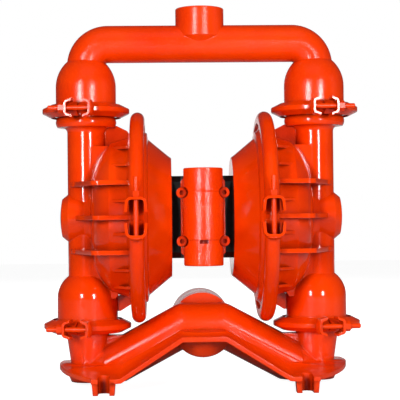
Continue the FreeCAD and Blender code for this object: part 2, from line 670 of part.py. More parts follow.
def o_ring_groove(body, joint, side=""):
    """A groove for a seat's O-ring in the face under it."""
    groove = [
        ("o_ring_radius - o_ring_section - 0.2", joint + " - 2 * o_ring_section"),
        ("o_ring_radius + o_ring_section + 0.2", joint + " - 2 * o_ring_section"),
        ("o_ring_radius + o_ring_section + 0.2", joint + " + 1"),
        ("o_ring_radius - o_ring_section - 0.2", joint + " + 1"),
    ]
    sketch = new_sketch(body, "XZ_Plane", (side + "column_x", "shaft_height", "0"))
    revolve(body, draw(sketch, groove), "V_Axis", cut=True)


def discharge_manifold():
    body = new_body("discharge_manifold")
    elbow = "bridge_rise - elbow_bend"
    ring = new_sketch(body, "XY_Plane", ("column_x", "0", "shaft_height + " + elbow))
    draw_circle(ring, "0", "0", "bridge_radius")
    path = new_sketch(body, "XZ_Plane", ("0", "shaft_height", "0"))
    draw(path, [
        ("column_x", elbow, "elbow_bend"),
        ("column_x - elbow_bend", "bridge_rise"),
        ("-column_x + elbow_bend", "bridge_rise", "elbow_bend"),
        ("-column_x", elbow),
    ], closed=False)
    sweep(body, "PartDesign::AdditivePipe", ring, path)
    for side in ("", "-"):
        bell = [
            ("0", "upper_joint_rise"),
            ("small_flange_radius", "upper_joint_rise"),
            ("small_flange_radius", "upper_joint_rise + small_flange_edge"),
            ("small_flange_root", "upper_joint_rise + %s" % small_taper("small_flange_root")),
            ("bell_radius + 2", "upper_joint_rise + small_flange_depth", "-2"),
            ("bell_radius", "upper_joint_rise + small_flange_depth + 2"),
            ("bell_radius", "upper_bell_full", "upper_bell_bend"),
            ("upper_bell_neck", "upper_bell_top"),
            ("bridge_radius - 0.6", "upper_bell_top + 3"),
            ("0", "upper_bell_top + 3"),
        ]
        upright = new_sketch(body, "XZ_Plane", (side + "column_x", "shaft_height", "0"))
        revolve(body, draw(upright, bell), "V_Axis")
    boss = [
        ("0", "outlet_top"),
        ("outlet_radius - 0.8", "outlet_top"),
        ("outlet_radius", "outlet_top - 0.8"),
        ("outlet_radius", "outlet_foot"),
        ("bridge_radius - 2", "bridge_rise - 2"),
        ("0", "bridge_rise - 2"),
    ]
    revolve(body, draw(new_sketch(body, "XZ_Plane", ("0", "shaft_height", "0")), boss), "V_Axis")
    bore_ring = new_sketch(body, "XY_Plane", ("column_x", "0", "shaft_height + " + elbow))
    draw_circle(bore_ring, "0", "0", "pipe_bore")
    sweep(body, "PartDesign::SubtractivePipe", bore_ring, path)
    for side in ("", "-"):
        hollow = [
            ("0", "upper_joint_rise - 1"),
            ("bell_bore", "upper_joint_rise - 1"),
            ("bell_bore", "upper_bell_full", "upper_bell_bend - 4.5"),
            ("pipe_bore", "upper_bell_top"),
            ("pipe_bore - 0.4", "upper_bell_top + 1"),
            ("0", "upper_bell_top + 1"),
        ]
        upright = new_sketch(body, "XZ_Plane", (side + "column_x", "shaft_height", "0"))
        revolve(body, draw(upright, hollow), "V_Axis", cut=True)
    mouth = [
        ("0", "outlet_top + 1"),
        ("outlet_thread + mouth_chamfer + 1", "outlet_top + 1"),
        ("outlet_thread", "outlet_top - mouth_chamfer"),
        ("outlet_thread", "outlet_top - outlet_thread_depth"),
        ("pipe_bore", "outlet_top - outlet_thread_depth"),
        ("pipe_bore", "bridge_rise"),
        ("0", "bridge_rise"),
    ]
    revolve(body, draw(new_sketch(body, "XZ_Plane", ("0", "shaft_height", "0")), mouth), "V_Axis", cut=True)
    for side in ("", "-"):
        cage(body, "upper_joint_rise", [
            ("bell_radius - 2.5", "upper_bell_full"),
            ("bell_radius - 6", "upper_bell_full + 16"),
            ("upper_bell_neck - 3", "upper_bell_top - 2"),
        ], side)
    return part(body, "discharge_manifold")


def sweep(body, kind, profile, path):
    feature = body.newObject(kind, body.Name + "_sweep")
    feature.Profile = profile
    feature.Spine = (path, ["Edge%d" % (index + 1) for index in range(path.GeometryCount)])
    return feature


def inlet_manifold():
    body = new_body("inlet_arms")
    port = [
        ("-inlet_dome", "0", "round"),
        ("-inlet_front", "inlet_radius - 2", "-9"),
        ("-inlet_front + 4", "inlet_radius"),
        ("inlet_rear - 1", "inlet_radius"),
        ("inlet_rear", "inlet_radius - 1"),
        ("inlet_rear", "0"),
    ]
    across = new_sketch(body, "YZ_Plane", ("0", "shaft_height - arm_drop", "0"))
    revolve(body, draw(across, port))
    middle = [
        ("-arm_bend_x", "0"),
        ("-arm_bend_x", "arm_radius"),
        ("arm_bend_x", "arm_radius"),
        ("arm_bend_x", "0"),
    ]
    revolve(body, draw(new_sketch(body, "XZ_Plane", ("0", "shaft_height - arm_drop", "0")), middle))
    for side, angle in (("", "-arm_angle"), ("-", "arm_angle")):
        arm = [
            ("0", "0"),
            ("0", "arm_radius"),
            (side + "arm_length", "arm_radius"),
            (side + "arm_length", "0"),
        ]
        slope = new_sketch(body, "XZ_Plane", (side + "arm_bend_x", "shaft_height - arm_drop", "0"), angle)
        revolve(body, draw(slope, arm))
        sphere = [("-arm_radius", "0", "round"), ("0", "arm_radius", "round"), ("arm_radius", "0")]
        corner = new_sketch(body, "XZ_Plane", (side + "arm_bend_x", "shaft_height - arm_drop", "0"))
        revolve(body, draw(corner, sphere))
        neck = [
            ("0", "-lower_joint_drop"),
            ("small_flange_radius", "-lower_joint_drop"),
            ("small_flange_radius", "-lower_joint_drop - small_flange_edge"),
            ("small_flange_root", "-lower_joint_drop - (%s)" % small_taper("small_flange_root")),
            ("foot_neck_top + 5", "-lower_joint_drop - small_flange_depth", "5"),
            ("foot_neck_top", "-lower_joint_drop - small_flange_depth - 5"),
            ("foot_neck_bottom", "-shaft_height + plate_height + plate_thickness + 6", "8"),
            ("foot_neck_bottom + 4", "-shaft_height + plate_height + plate_thickness"),
            ("foot_neck_bottom + 4", "-shaft_height + plate_height"),
            ("foot_neck_bottom", "-shaft_height + belly_height"),
            ("0", "-shaft_height + belly_height"),
        ]
        upright = new_sketch(body, "XZ_Plane", (side + "column_x", "shaft_height", "0"))
        revolve(body, draw(upright, neck), "V_Axis")
        ledge = [
            (side + "(column_x - 43)", "-ledge_drop"),
            (side + "(column_x - 20)", "-ledge_drop"),
            (side + "(column_x - 20)", "-ledge_drop - 22"),
            (side + "(column_x - 36)", "-ledge_drop - 22"),
        ]
        pad(body, draw(new_sketch(body, "XZ_Plane", ("0", "shaft_height", "0")), ledge), "ledge_width")
    trim = [
        ("-column_x - plate_arc_radius", "-arm_radius"),
        ("column_x + plate_arc_radius", "-arm_radius"),
        ("column_x + plate_arc_radius", "belly_height"),
        ("-column_x - plate_arc_radius", "belly_height"),
    ]
    pad(body, draw(new_sketch(body, "XZ_Plane"), trim), "4 * arm_radius", cut=True)
    for side in ("", "-"):
        o_ring_groove(body, "-lower_joint_drop", side)
    casting = doc.addObject("Part::MultiFuse", "inlet_casting")
    casting.Shapes = [body, foot_plate()]
    hollowed = doc.addObject("Part::Cut", "inlet_hollowed")
    hollowed.Base = casting
    hollowed.Tool = inlet_ways()
    return part(hollowed, "inlet_manifold")


def inlet_ways():
    """The passages of the inlet casting: the port, both sloping arms and the rises to the joints."""
    body = new_body("inlet_ways")
    bore = [
        ("-inlet_front", "0", "round"),
        ("-inlet_front + inlet_bore", "inlet_bore"),
        ("inlet_rear - inlet_thread_depth", "inlet_bore"),
        ("inlet_rear - inlet_thread_depth", "inlet_thread"),
        ("inlet_rear - mouth_chamfer", "inlet_thread"),
        ("inlet_rear + 1", "inlet_thread + mouth_chamfer + 1"),
        ("inlet_rear + 1", "0"),
    ]
    across = new_sketch(body, "YZ_Plane", ("0", "shaft_height - arm_drop", "0"))
    revolve(body, draw(across, bore))
    for side, angle in (("", "-arm_bore_angle"), ("-", "arm_bore_angle")):
        slope_bore = [
            ("0", "0"),
            ("0", "arm_bore"),
            (side + "arm_bore_length", "arm_bore", "round"),
            (side + "(arm_bore_length + arm_bore)", "0"),
        ]
        shift = (side + "arm_bore_start_x", "shaft_height - arm_drop", "0")
        revolve(body, draw(new_sketch(body, "XZ_Plane", shift, angle), slope_bore))
        rise = [
            ("0", "-lower_joint_drop + 1"),
            ("pipe_bore - 1", "-lower_joint_drop + 1"),
            ("pipe_bore - 1", "-lower_joint_drop - 16"),
            ("arm_bore", "-arm_drop - 40", "round"),
            ("0", "-arm_drop - 40 - arm_bore"),
        ]
        upright = new_sketch(body, "XZ_Plane", (side + "column_x", "shaft_height", "0"))
        revolve(body, draw(upright, rise), "V_Axis")
    return body


def plate_section(lift, filled):
    """The bent plate cut across the pump, or all that lies under its top when filled."""
    end = "column_x + plate_arc_radius"
    low = "plate_height + " + lift
    high = "shaft_height - arm_drop - plate_middle_drop + " + lift
    top = low + " + plate_thickness"
    ridge = high + " + plate_thickness * 1.1"
    if filled:
        under = [("-(%s)" % end, "-1"), (end, "-1")]
    else:
        under = [
            ("-(%s)" % end, low),
            ("-plate_bend_x", low),
            ("-plate_middle_x", high),
            ("plate_middle_x", high),
            ("plate_bend_x", low),
            (end, low),
        ]
    return under + [
        (end, top),
        ("plate_bend_x + 1.5", top),
        ("plate_middle_x + 1.5", ridge),
        ("-plate_middle_x - 1.5", ridge),
        ("-plate_bend_x - 1.5", top),
        ("-(%s)" % end, top),
    ]


def sloped_sheet(name, filled=False):
    """A bent sheet that falls from both sides of the arms to its front and rear edges."""
    body = new_body(name)
    cuts = []
    for place, lift in (
        ("-plate_foot_reach - 2", "0"),
        ("-arm_radius", "plate_slope_rise"),
        ("arm_radius", "plate_slope_rise"),
        ("plate_foot_reach + 2", "0"),
    ):
        cuts.append(draw(new_sketch(body, "XZ_Plane", ("0", "0", place)), plate_section(lift, filled)))
    loft = body.newObject("PartDesign::AdditiveLoft", name + "_loft")
    loft.Profile = cuts[0]
    loft.Sections = cuts[1:]
    loft.Ruled = True
    return body


def foot_plate():
    """The bent plate under the arms, with its rounded ends, slots and foot pads."""
    corner_y = "sqrt(plate_arc_radius^2 - (plate_corner_x - plate_arc_x)^2)"
    end = "plate_arc_x + plate_arc_radius"
    pad_side = "slot_x - slot_radius - pad_wall"
    outline = [
        ("0", "-plate_middle_reach"),
        ("plate_middle_x", "-plate_middle_reach"),
        (pad_side, "-plate_foot_reach"),
        ("plate_corner_x", "-plate_foot_reach"),
        ("plate_corner_x", "-" + corner_y, "plate_arc_radius"),
        (end, "0", "plate_arc_radius"),
        ("plate_corner_x", corner_y),
        ("plate_corner_x", "plate_foot_reach"),
        (pad_side, "plate_foot_reach"),
        ("plate_middle_x", "plate_middle_reach"),
        ("0", "plate_middle_reach"),
    ]
    blank = new_body("plate_blank")
    pad(blank, draw(new_sketch(blank, "XY_Plane"), outline), "shaft_height", both=False)
    blank_left = mirrored(blank, "plate_blank_left")
    both = doc.addObject("Part::MultiFuse", "plate_blank_both")
    both.Shapes = [blank, blank_left]
    plate = doc.addObject("Part::MultiCommon", "plate_bent")
    plate.Shapes = [sloped_sheet("plate_sheet"), both]
    pad_front = [
        (pad_side + " + 1", "-plate_foot_reach + 2"),
        ("slot_x + slot_radius + pad_wall - 1", "-plate_foot_reach + 2"),
        ("slot_x + slot_radius + pad_wall - 1", "-slot_end", "slot_radius + pad_wall - 1"),
        ("slot_x", "-slot_end + slot_radius + pad_wall - 1", "slot_radius + pad_wall - 1"),
        (pad_side + " + 1", "-slot_end"),
    ]
    foot = new_body("foot_pad")
    pad(foot, draw(new_sketch(foot, "XY_Plane"), pad_front), "plate_height + plate_slope_rise", both=False,
        draft="pad_draft")
    cut_feet = doc.addObject("Part::MultiCommon", "foot_pads_cut")
    under = sloped_sheet("plate_room", filled=True)
    standing = doc.addObject("Part::MultiFuse", "foot_pads_standing")
    standing.Shapes = four_ways(foot, "foot_pads")
    cut_feet.Shapes = [standing, under]
    slot = new_body("foot_slot")
    slot_shape = [
        ("slot_x - slot_radius", "-plate_foot_reach - 5"),
        ("slot_x + slot_radius", "-plate_foot_reach - 5"),
        ("slot_x + slot_radius", "-slot_end", "slot_radius"),
        ("slot_x", "-slot_end + slot_radius", "slot_radius"),
        ("slot_x - slot_radius", "-slot_end"),
    ]
    through = new_sketch(slot, "XY_Plane", ("0", "0", "-1"))
    pad(slot, draw(through, slot_shape), "plate_height * 4", both=False)
    slots = four_ways(slot, "foot_slots")
    blank_plate = doc.addObject("Part::MultiFuse", "plate_with_pads")
    blank_plate.Shapes = [plate, cut_feet]
    slotted = doc.addObject("Part::Cut", "plate_slotted")
    slotted.Base = blank_plate
    slotted.Tool = group("foot_slot_group", slots)
    return slotted


def four_ways(item, name):
    """A piece and its mirror images at the other three corners."""
    left = mirrored(item, name + "_left")
    rear = mirrored(item, name + "_rear", (0, 1, 0))
    rear_left = mirrored(left, name + "_rear_left", (0, 1, 0))
    return [item, left, rear, rear_left]


def center_block():
    body = new_body("center_block")
    outline = [
        ("-block_front", "-block_half_height + block_corner"),
        ("-block_front + block_corner", "-block_half_height"),
        ("block_rear - block_corner", "-block_half_height"),
        ("block_rear", "-block_half_height + block_corner"),
        ("block_rear", "block_half_height - block_corner"),
        ("block_rear - block_corner", "block_half_height"),
        ("-block_front + block_corner", "block_half_height"),
        ("-block_front", "block_half_height - block_corner"),
    ]
    pad(body, draw(new_sketch(body, "YZ_Plane", ("0", "shaft_height", "0")), outline),
        "2 * (air_face_x - gasket_thickness)")
    shaft_way = [
        ("-air_face_x", "0"),
        ("-air_face_x", "bushing_radius"),
        ("-air_face_x + gasket_thickness + bushing_length", "bushing_radius"),
        ("-air_face_x + gasket_thickness + bushing_length", "seal_radius"),
        ("-air_face_x + gasket_thickness + bushing_length + seal_width", "seal_radius"),
        ("-air_face_x + gasket_thickness + bushing_length + seal_width", "shaft_radius + 0.5"),
        ("air_face_x - gasket_thickness - bushing_length - seal_width", "shaft_radius + 0.5"),
        ("air_face_x - gasket_thickness - bushing_length - seal_width", "seal_radius"),
        ("air_face_x - gasket_thickness - bushing_length", "seal_radius"),
        ("air_face_x - gasket_thickness - bushing_length", "bushing_radius"),
        ("air_face_x", "bushing_radius"),
        ("air_face_x", "0"),
    ]
    revolve(body, draw(new_sketch(body, "XZ_Plane", ("0", "shaft_height", "0")), shaft_way), cut=True)
    across = new_sketch(body, "YZ_Plane", ("0", "shaft_height", "0"))
    draw_circle(across, "pilot_y", "pilot_rise", "pilot_sleeve_radius")
    draw_circle(across, "-block_front / 2", "0", "air_way")
    pad(body, across, "3 * air_face_x", cut=True)
    ports = new_sketch(body, "XZ_Plane", ("0", "shaft_height", "-block_rear"))
    draw_circle(ports, "0", "inlet_port_rise", "inlet_port_radius")
    draw_circle(ports, "0", "-exhaust_port_drop", "exhaust_port_radius")
    pad(body, ports, "port_depth", both=False, cut=True, reverse=True)
    ways = new_sketch(body, "XZ_Plane", ("0", "shaft_height", "block_front"))
    for side in ("-", ""):
        draw_circle(ways, "0", side + "air_way_rise", "air_way")
    pad(body, ways, "block_front + block_rear - port_depth + 1", both=False, cut=True)
    front = new_sketch(body, "XZ_Plane", ("0", "shaft_height", "block_front"))
    for side in ("-", ""):
        for low in ("-", ""):
            draw_circle(front, side + "valve_screw_x", low + "valve_screw_z", "screw_radius + thread_gap")
    pad(body, front, "screw_bite + 2", both=False, cut=True)
    for side in ("-", ""):
        face = new_sketch(body, "YZ_Plane", ("0", "shaft_height", side + "(air_face_x - gasket_thickness)"))
        for rear in ("-", ""):
            for low in ("-", ""):
                draw_circle(face, rear + "centre_screw_y", low + "centre_screw_z", "screw_radius + thread_gap")
        pad(body, face, "screw_bite + 2", both=False, cut=True, reverse=side == "-")
    return part(body, "center_block")


def center_gasket(name):
    body = new_body(name)
    outline = new_sketch(body, "YZ_Plane", ("0", "shaft_height", "air_face_x - gasket_thickness"))
    draw(outline, [
        ("-block_front + block_corner", "-block_half_height"),
        ("block_rear - block_corner", "-block_half_height"),
        ("block_rear", "-block_half_height + block_corner"),
        ("block_rear", "block_half_height - block_corner"),
        ("block_rear - block_corner", "block_half_height"),
        ("-block_front + block_corner", "block_half_height"),
        ("-block_front", "block_half_height - block_corner"),
        ("-block_front", "-block_half_height + block_corner"),
    ])
    pad(body, outline, "gasket_thickness", both=False)
    holes = new_sketch(body, "YZ_Plane", ("0", "shaft_height", "air_face_x"))
    draw_circle(holes, "0", "0", "hub_bore")
    draw_circle(holes, "pilot_y", "pilot_rise", "pilot_sleeve_radius + running_gap")
    draw_circle(holes, "-block_front / 2", "0", "air_way")
    for front in ("-", ""):
        for low in ("-", ""):
            draw_circle(holes, front + "centre_screw_y", low + "centre_screw_z", "screw_radius + bolt_gap")
    pad(body, holes, "3 * gasket_thickness", cut=True)
    return body


def shaft_bushing(name):
    end = "air_face_x - gasket_thickness"
    return turned(name, [
        (end + " - bushing_length", "shaft_radius + running_gap"),
        (end, "shaft_radius + running_gap"),
        (end, "bushing_radius"),
        (end + " - bushing_length", "bushing_radius"),
    ])


def shaft_seal(name):
    end = "air_face_x - gasket_thickness - bushing_length"
    return turned(name, [
        (end + " - seal_width", "shaft_radius + running_gap"),
        (end, "shaft_radius + running_gap"),
        (end, "seal_radius"),
        (end + " - seal_width", "seal_radius"),
    ])


INNER_PISTON_BACK = "joint_x + hub_offset - diaphragm_thickness / 2 - piston_thickness"
HUB_INSIDE = "joint_x + hub_offset - diaphragm_thickness / 2"
HUB_OUTSIDE = "joint_x + hub_offset + diaphragm_thickness / 2"
OUTER_PISTON_FRONT = HUB_OUTSIDE + " + piston_thickness"


def main_shaft():
    end = OUTER_PISTON_FRONT + " + 6"
    body = turned("main_shaft", [
        ("-(%s)" % end, "0"),
        ("-(%s)" % end, "shaft_stud - 1"),
        ("-(%s) + 1" % end, "shaft_stud"),
        ("-(%s)" % INNER_PISTON_BACK, "shaft_stud"),
        ("-(%s)" % INNER_PISTON_BACK, "shaft_radius"),
        (INNER_PISTON_BACK, "shaft_radius"),
        (INNER_PISTON_BACK, "shaft_stud"),
        (end + " - 1", "shaft_stud"),
        (end, "shaft_stud - 1"),
        (end, "0"),
    ])
    return part(body, "main_shaft")


def inner_piston(name):
    return turned(name, [
        (INNER_PISTON_BACK, "shaft_stud"),
        (INNER_PISTON_BACK, "piston_radius / 3"),
        (HUB_INSIDE + " - piston_rim", "piston_radius - 4"),
        (HUB_INSIDE + " - piston_rim", "piston_radius - 1.5", "-1.5"),
        (HUB_INSIDE + " - piston_rim + 1.5", "piston_radius"),
        (HUB_INSIDE, "piston_radius"),
        (HUB_INSIDE, "shaft_stud"),
    ])


def outer_piston(name):
    return turned(name, [
        (HUB_OUTSIDE, "shaft_stud"),
        (HUB_OUTSIDE, "piston_radius - 2"),
        (HUB_OUTSIDE + " + piston_rim", "piston_radius - 2"),
        (OUTER_PISTON_FRONT, "piston_radius / 3"),
        (OUTER_PISTON_FRONT + " + 6", "piston_radius / 3 - 2"),
        (OUTER_PISTON_FRONT + " + 6", "shaft_stud"),
    ])


def diaphragm(name):
    rim_in = "joint_x - diaphragm_thickness / 2"
    rim_out = "joint_x + diaphragm_thickness / 2"
    return turned(name, [
        (rim_in, "flange_radius - rim_inset"),
        (rim_in, "diaphragm_rim_radius - 2", "diaphragm_thickness - diaphragm_bend"),
        (HUB_INSIDE, "diaphragm_hub_radius + 3"),
        (HUB_INSIDE, "shaft_stud"),
        (HUB_OUTSIDE, "shaft_stud"),
        (HUB_OUTSIDE, "diaphragm_hub_radius", "diaphragm_bend"),
        (rim_out, "diaphragm_rim_radius"),
        (rim_out, "flange_radius - rim_inset"),
    ])


def pilot_spool():
    half = "(%s - shaft_stroke + pilot_stroke - stop_gap)" % INNER_PISTON_BACK
    body = turned("pilot_spool", [
        ("-" + half, "0"),
        ("-" + half, "pilot_radius - 1"),
        ("-%s + 1" % half, "pilot_radius"),
        ("-7", "pilot_radius"),
        ("-7", "pilot_radius - 2"),
        ("7", "pilot_radius - 2"),
        ("7", "pilot_radius"),
        (half + " - 1", "pilot_radius"),
        (half, "pilot_radius - 1"),
        (half, "0"),
    ], ("0", "shaft_height + pilot_rise", "-pilot_y"))
    return part(body, "pilot_spool")


def pilot_sleeve():
    body = turned("pilot_sleeve", [
        ("-air_face_x - air_floor", "pilot_radius + running_gap"),
        ("air_face_x + air_floor", "pilot_radius + running_gap"),
        ("air_face_x + air_floor", "pilot_sleeve_radius"),
        ("-air_face_x - air_floor", "pilot_sleeve_radius"),
    ], ("0", "shaft_height + pilot_rise", "-pilot_y"))
    return part(body, "pilot_sleeve")


VALVE_BACK = "block_front + valve_gasket_thickness"


def air_valve_body():
    body = new_body("air_valve_body")
    barrel = [
        ("0", "-valve_half_height"),
        ("valve_radius - 1", "-valve_half_height"),
        ("valve_radius", "-valve_half_height + 1"),
        ("valve_radius", "-belly_bottom"),
        ("valve_belly_radius", "-belly_bottom"),
        ("valve_belly_radius", "belly_top"),
        ("valve_radius", "belly_top + 0.6"),
        ("valve_radius", "valve_half_height - 1"),
        ("valve_radius - 1", "valve_half_height"),
        ("0", "valve_half_height"),
    ]
    revolve(body, draw(new_sketch(body, "XZ_Plane", ("0", "shaft_height", "valve_y")), barrel), "V_Axis")
    high = "valve_flange_half_height"
    wide = "valve_flange_half_width"
    flange = [
        ("-%s + 6" % wide, "-" + high),
        ("%s - 6" % wide, "-" + high),
        (wide, "-%s + 6" % high),
        (wide, "%s - 6" % high),
        ("%s - 6" % wide, high),
        ("-%s + 6" % wide, high),
        ("-" + wide, "%s - 6" % high),
        ("-" + wide, "-%s + 6" % high),
    ]
    plate = new_sketch(body, "XZ_Plane", ("0", "shaft_height", VALVE_BACK))
    pad(body, draw(plate, flange), "valve_flange_depth", both=False)
    web = [
        ("-valve_radius + 0.5", "-" + high),
        ("valve_radius - 0.5", "-" + high),
        ("valve_radius - 0.5", high),
        ("-valve_radius + 0.5", high),
    ]
    bridge = new_sketch(body, "XZ_Plane", ("0", "shaft_height", VALVE_BACK))
    pad(body, draw(bridge, web), "valve_y - block_front - valve_gasket_thickness", both=False)
    for side in ("-", ""):
        for low in ("-", ""):
            lug = new_sketch(body, "XZ_Plane", ("0", "shaft_height", VALVE_BACK))
            draw_circle(lug, side + "valve_screw_x", low + "valve_screw_z", "valve_lug_radius")
            pad(body, lug, "valve_flange_depth", both=False)
    behind = [
        ("-2 * valve_radius", "-valve_half_height - 1"),
        ("2 * valve_radius", "-valve_half_height - 1"),
        ("2 * valve_radius", "valve_half_height + 1"),
        ("-2 * valve_radius", "valve_half_height + 1"),
    ]
    back = new_sketch(body, "XZ_Plane", ("0", "shaft_height", VALVE_BACK))
    pad(body, draw(back, behind), "valve_radius", both=False, cut=True)
    bore = [
        ("0", "-valve_half_height - 1"),
        ("cap_radius + running_gap", "-valve_half_height - 1"),
        ("cap_radius + running_gap", "-valve_half_height + cap_height"),
        ("spool_radius + running_gap", "-valve_half_height + cap_height"),
        ("spool_radius + running_gap", "valve_half_height - cap_height"),
        ("cap_radius + running_gap", "valve_half_height - cap_height"),
        ("cap_radius + running_gap", "valve_half_height + 1"),
        ("0", "valve_half_height + 1"),
    ]
    revolve(body, draw(new_sketch(body, "XZ_Plane", ("0", "shaft_height", "valve_y")), bore), "V_Axis",
            cut=True)
    holes = new_sketch(body, "XZ_Plane", ("0", "shaft_height", VALVE_BACK + " + valve_flange_depth"))
    for side in ("-", ""):
        for low in ("-", ""):
            draw_circle(holes, side + "valve_screw_x", low + "valve_screw_z", "screw_radius + bolt_gap")
    pad(body, holes, "valve_flange_depth + 1", both=False, cut=True)
    spots = new_sketch(body, "XZ_Plane", ("0", "shaft_height", VALVE_BACK + " + valve_flange_depth"))
    for side in ("-", ""):
        for low in ("-", ""):
            draw_circle(spots, side + "valve_screw_x", low + "valve_screw_z", "screw_head_radius + spot_gap")
    pad(body, spots, "valve_y", both=False, cut=True, reverse=True)
    ways = new_sketch(body, "XZ_Plane", ("0", "shaft_height", "valve_y"))
    for side in ("-", ""):
        draw_circle(ways, "0", side + "air_way_rise", "air_way")
    pad(body, ways, "valve_y - block_front", both=False, cut=True)
    vent = [
        ("-vent_half_width", "-belly_bottom - vent_height"),
        ("vent_half_width", "-belly_bottom - vent_height"),
        ("vent_half_width", "-belly_bottom"),
        ("-vent_half_width", "-belly_bottom"),
    ]
    mouth = new_sketch(body, "XZ_Plane", ("0", "shaft_height", "valve_y + valve_radius + 1"))
    pad(body, draw(mouth, vent), "vent_depth + 1", both=False, cut=True)
    return part(body, "air_valve_body")


def air_valve_cap(label, side):
    """A plug in one end of the valve's bore, with a groove for its snap ring."""
    end = side + "valve_half_height"
    inside = "%s(valve_half_height - cap_height + running_gap)" % side
    body = turned(label, [
        ("0", inside),
        ("cap_radius", inside),
        ("cap_radius", end),
        ("cap_radius - 3", end),
        ("cap_radius - 4.5", "%s(valve_half_height - 2)" % side),
        ("0", "%s(valve_half_height - 2)" % side),
    ], ("0", "shaft_height", "valve_y"), "V_Axis")
    return part(body, label)


def air_valve_gasket():
    body = new_body("air_valve_gasket")
    outline = new_sketch(body, "XZ_Plane", ("0", "shaft_height", "block_front"))
    draw(outline, [
        ("-valve_flange_half_width", "-valve_flange_half_height"),
        ("valve_flange_half_width", "-valve_flange_half_height"),
        ("valve_flange_half_width", "valve_flange_half_height"),
        ("-valve_flange_half_width", "valve_flange_half_height"),
    ])
    pad(body, outline, "valve_gasket_thickness", both=False)
    holes = new_sketch(body, "XZ_Plane", ("0", "shaft_height", "block_front"))
    for side in ("-", ""):
        draw_circle(holes, "0", side + "air_way_rise", "air_way")
        for low in ("-", ""):
            draw_circle(holes, side + "valve_screw_x", low + "valve_screw_z", "screw_radius + bolt_gap")
    pad(body, holes, "4 * valve_gasket_thickness", cut=True)
    return part(body, "air_valve_gasket")


def air_valve_spool():
    """The main spool, resting on the lower cap."""
    foot = "-valve_half_height + cap_height + stop_gap"
    top = "valve_half_height - cap_height - stop_gap - spool_stroke"
    rise = "(%s - (%s)) / 5" % (top, foot)
    corners = [("0", foot), ("spool_radius", foot)]
    for level in (1, 3):
        low = "%s + %d * %s" % (foot, level, rise)
        high = "%s + %d * %s" % (foot, level + 1, rise)
        corners += [("spool_radius", low), ("spool_waist", low), ("spool_waist", high), ("spool_radius", high)]
    corners += [("spool_radius", top), ("0", top)]
    return part(turned("air_valve_spool", corners, ("0", "shaft_height", "valve_y"), "V_Axis"),
                "air_valve_spool")


def hexagon(radius):
    return [("(%s) * cos(%d)" % (radius, 60 * turn), "(%s) * sin(%d)" % (radius, 60 * turn))
            for turn in range(6)]


def cap_screw(name, grip):
    """A socket head cap screw along Z, its head's underside at the origin."""
    body = new_body(name)
    revolve(body, draw(new_sketch(body, "XZ_Plane"), [
        ("0", "-(%s) - screw_bite" % grip),
        ("screw_radius", "-(%s) - screw_bite" % grip),
        ("screw_radius", "0"),
        ("screw_head_radius", "0"),
        ("screw_head_radius", "screw_head_height - 0.6"),
        ("screw_head_radius - 0.6", "screw_head_height"),
        ("0", "screw_head_height"),
    ]), "V_Axis")
    socket = new_sketch(body, "XY_Plane", ("0", "0", "screw_head_height"))
    pad(body, draw(socket, hexagon("socket_radius")), "socket_depth", both=False, cut=True)
    return body


def put(item, across, back, up, turn_axis=(0, 0, 1), turn=None):
    """Stands a piece at its place, turned about one axis."""
    item.Placement = FreeCAD.Placement(
        FreeCAD.Vector(number(across), number(back), number(up)),
        FreeCAD.Rotation(FreeCAD.Vector(turn_axis), number(turn) if turn else 0))
    for axis, amount in zip("xyz", (across, back, up)):
        tie(item, "Placement.Base." + axis, amount)
    return item


def air_valve_screws():
    screw = cap_screw("valve_screw", "valve_flange_depth + valve_gasket_thickness")
    put(screw, "valve_screw_x", "-(%s + valve_flange_depth)" % VALVE_BACK, "shaft_height + valve_screw_z",
        (1, 0, 0), "90")
    return part(corners_of("air_valve_screws", screw, (1, 0, 0), (0, 0, 1)), "air_valve_screws")


def corners_of(label, item, first, second):
    """A piece with its mirror images in two planes through the shaft."""
    height = "shaft_height"
    one = mirrored(item, label + "_one", first)
    two = mirrored(item, label + "_two", second, height)
    three = mirrored(one, label + "_three", second, height)
    return group(label, [item, one, two, three])


def center_screws(name):
    screw = cap_screw(name + "_screw", "air_floor + gasket_thickness")
    put(screw, "air_face_x + air_floor", "centre_screw_y", "shaft_height + centre_screw_z", (0, 1, 0), "90")
    return corners_of(name, screw, (0, 1, 0), (0, 0, 1))


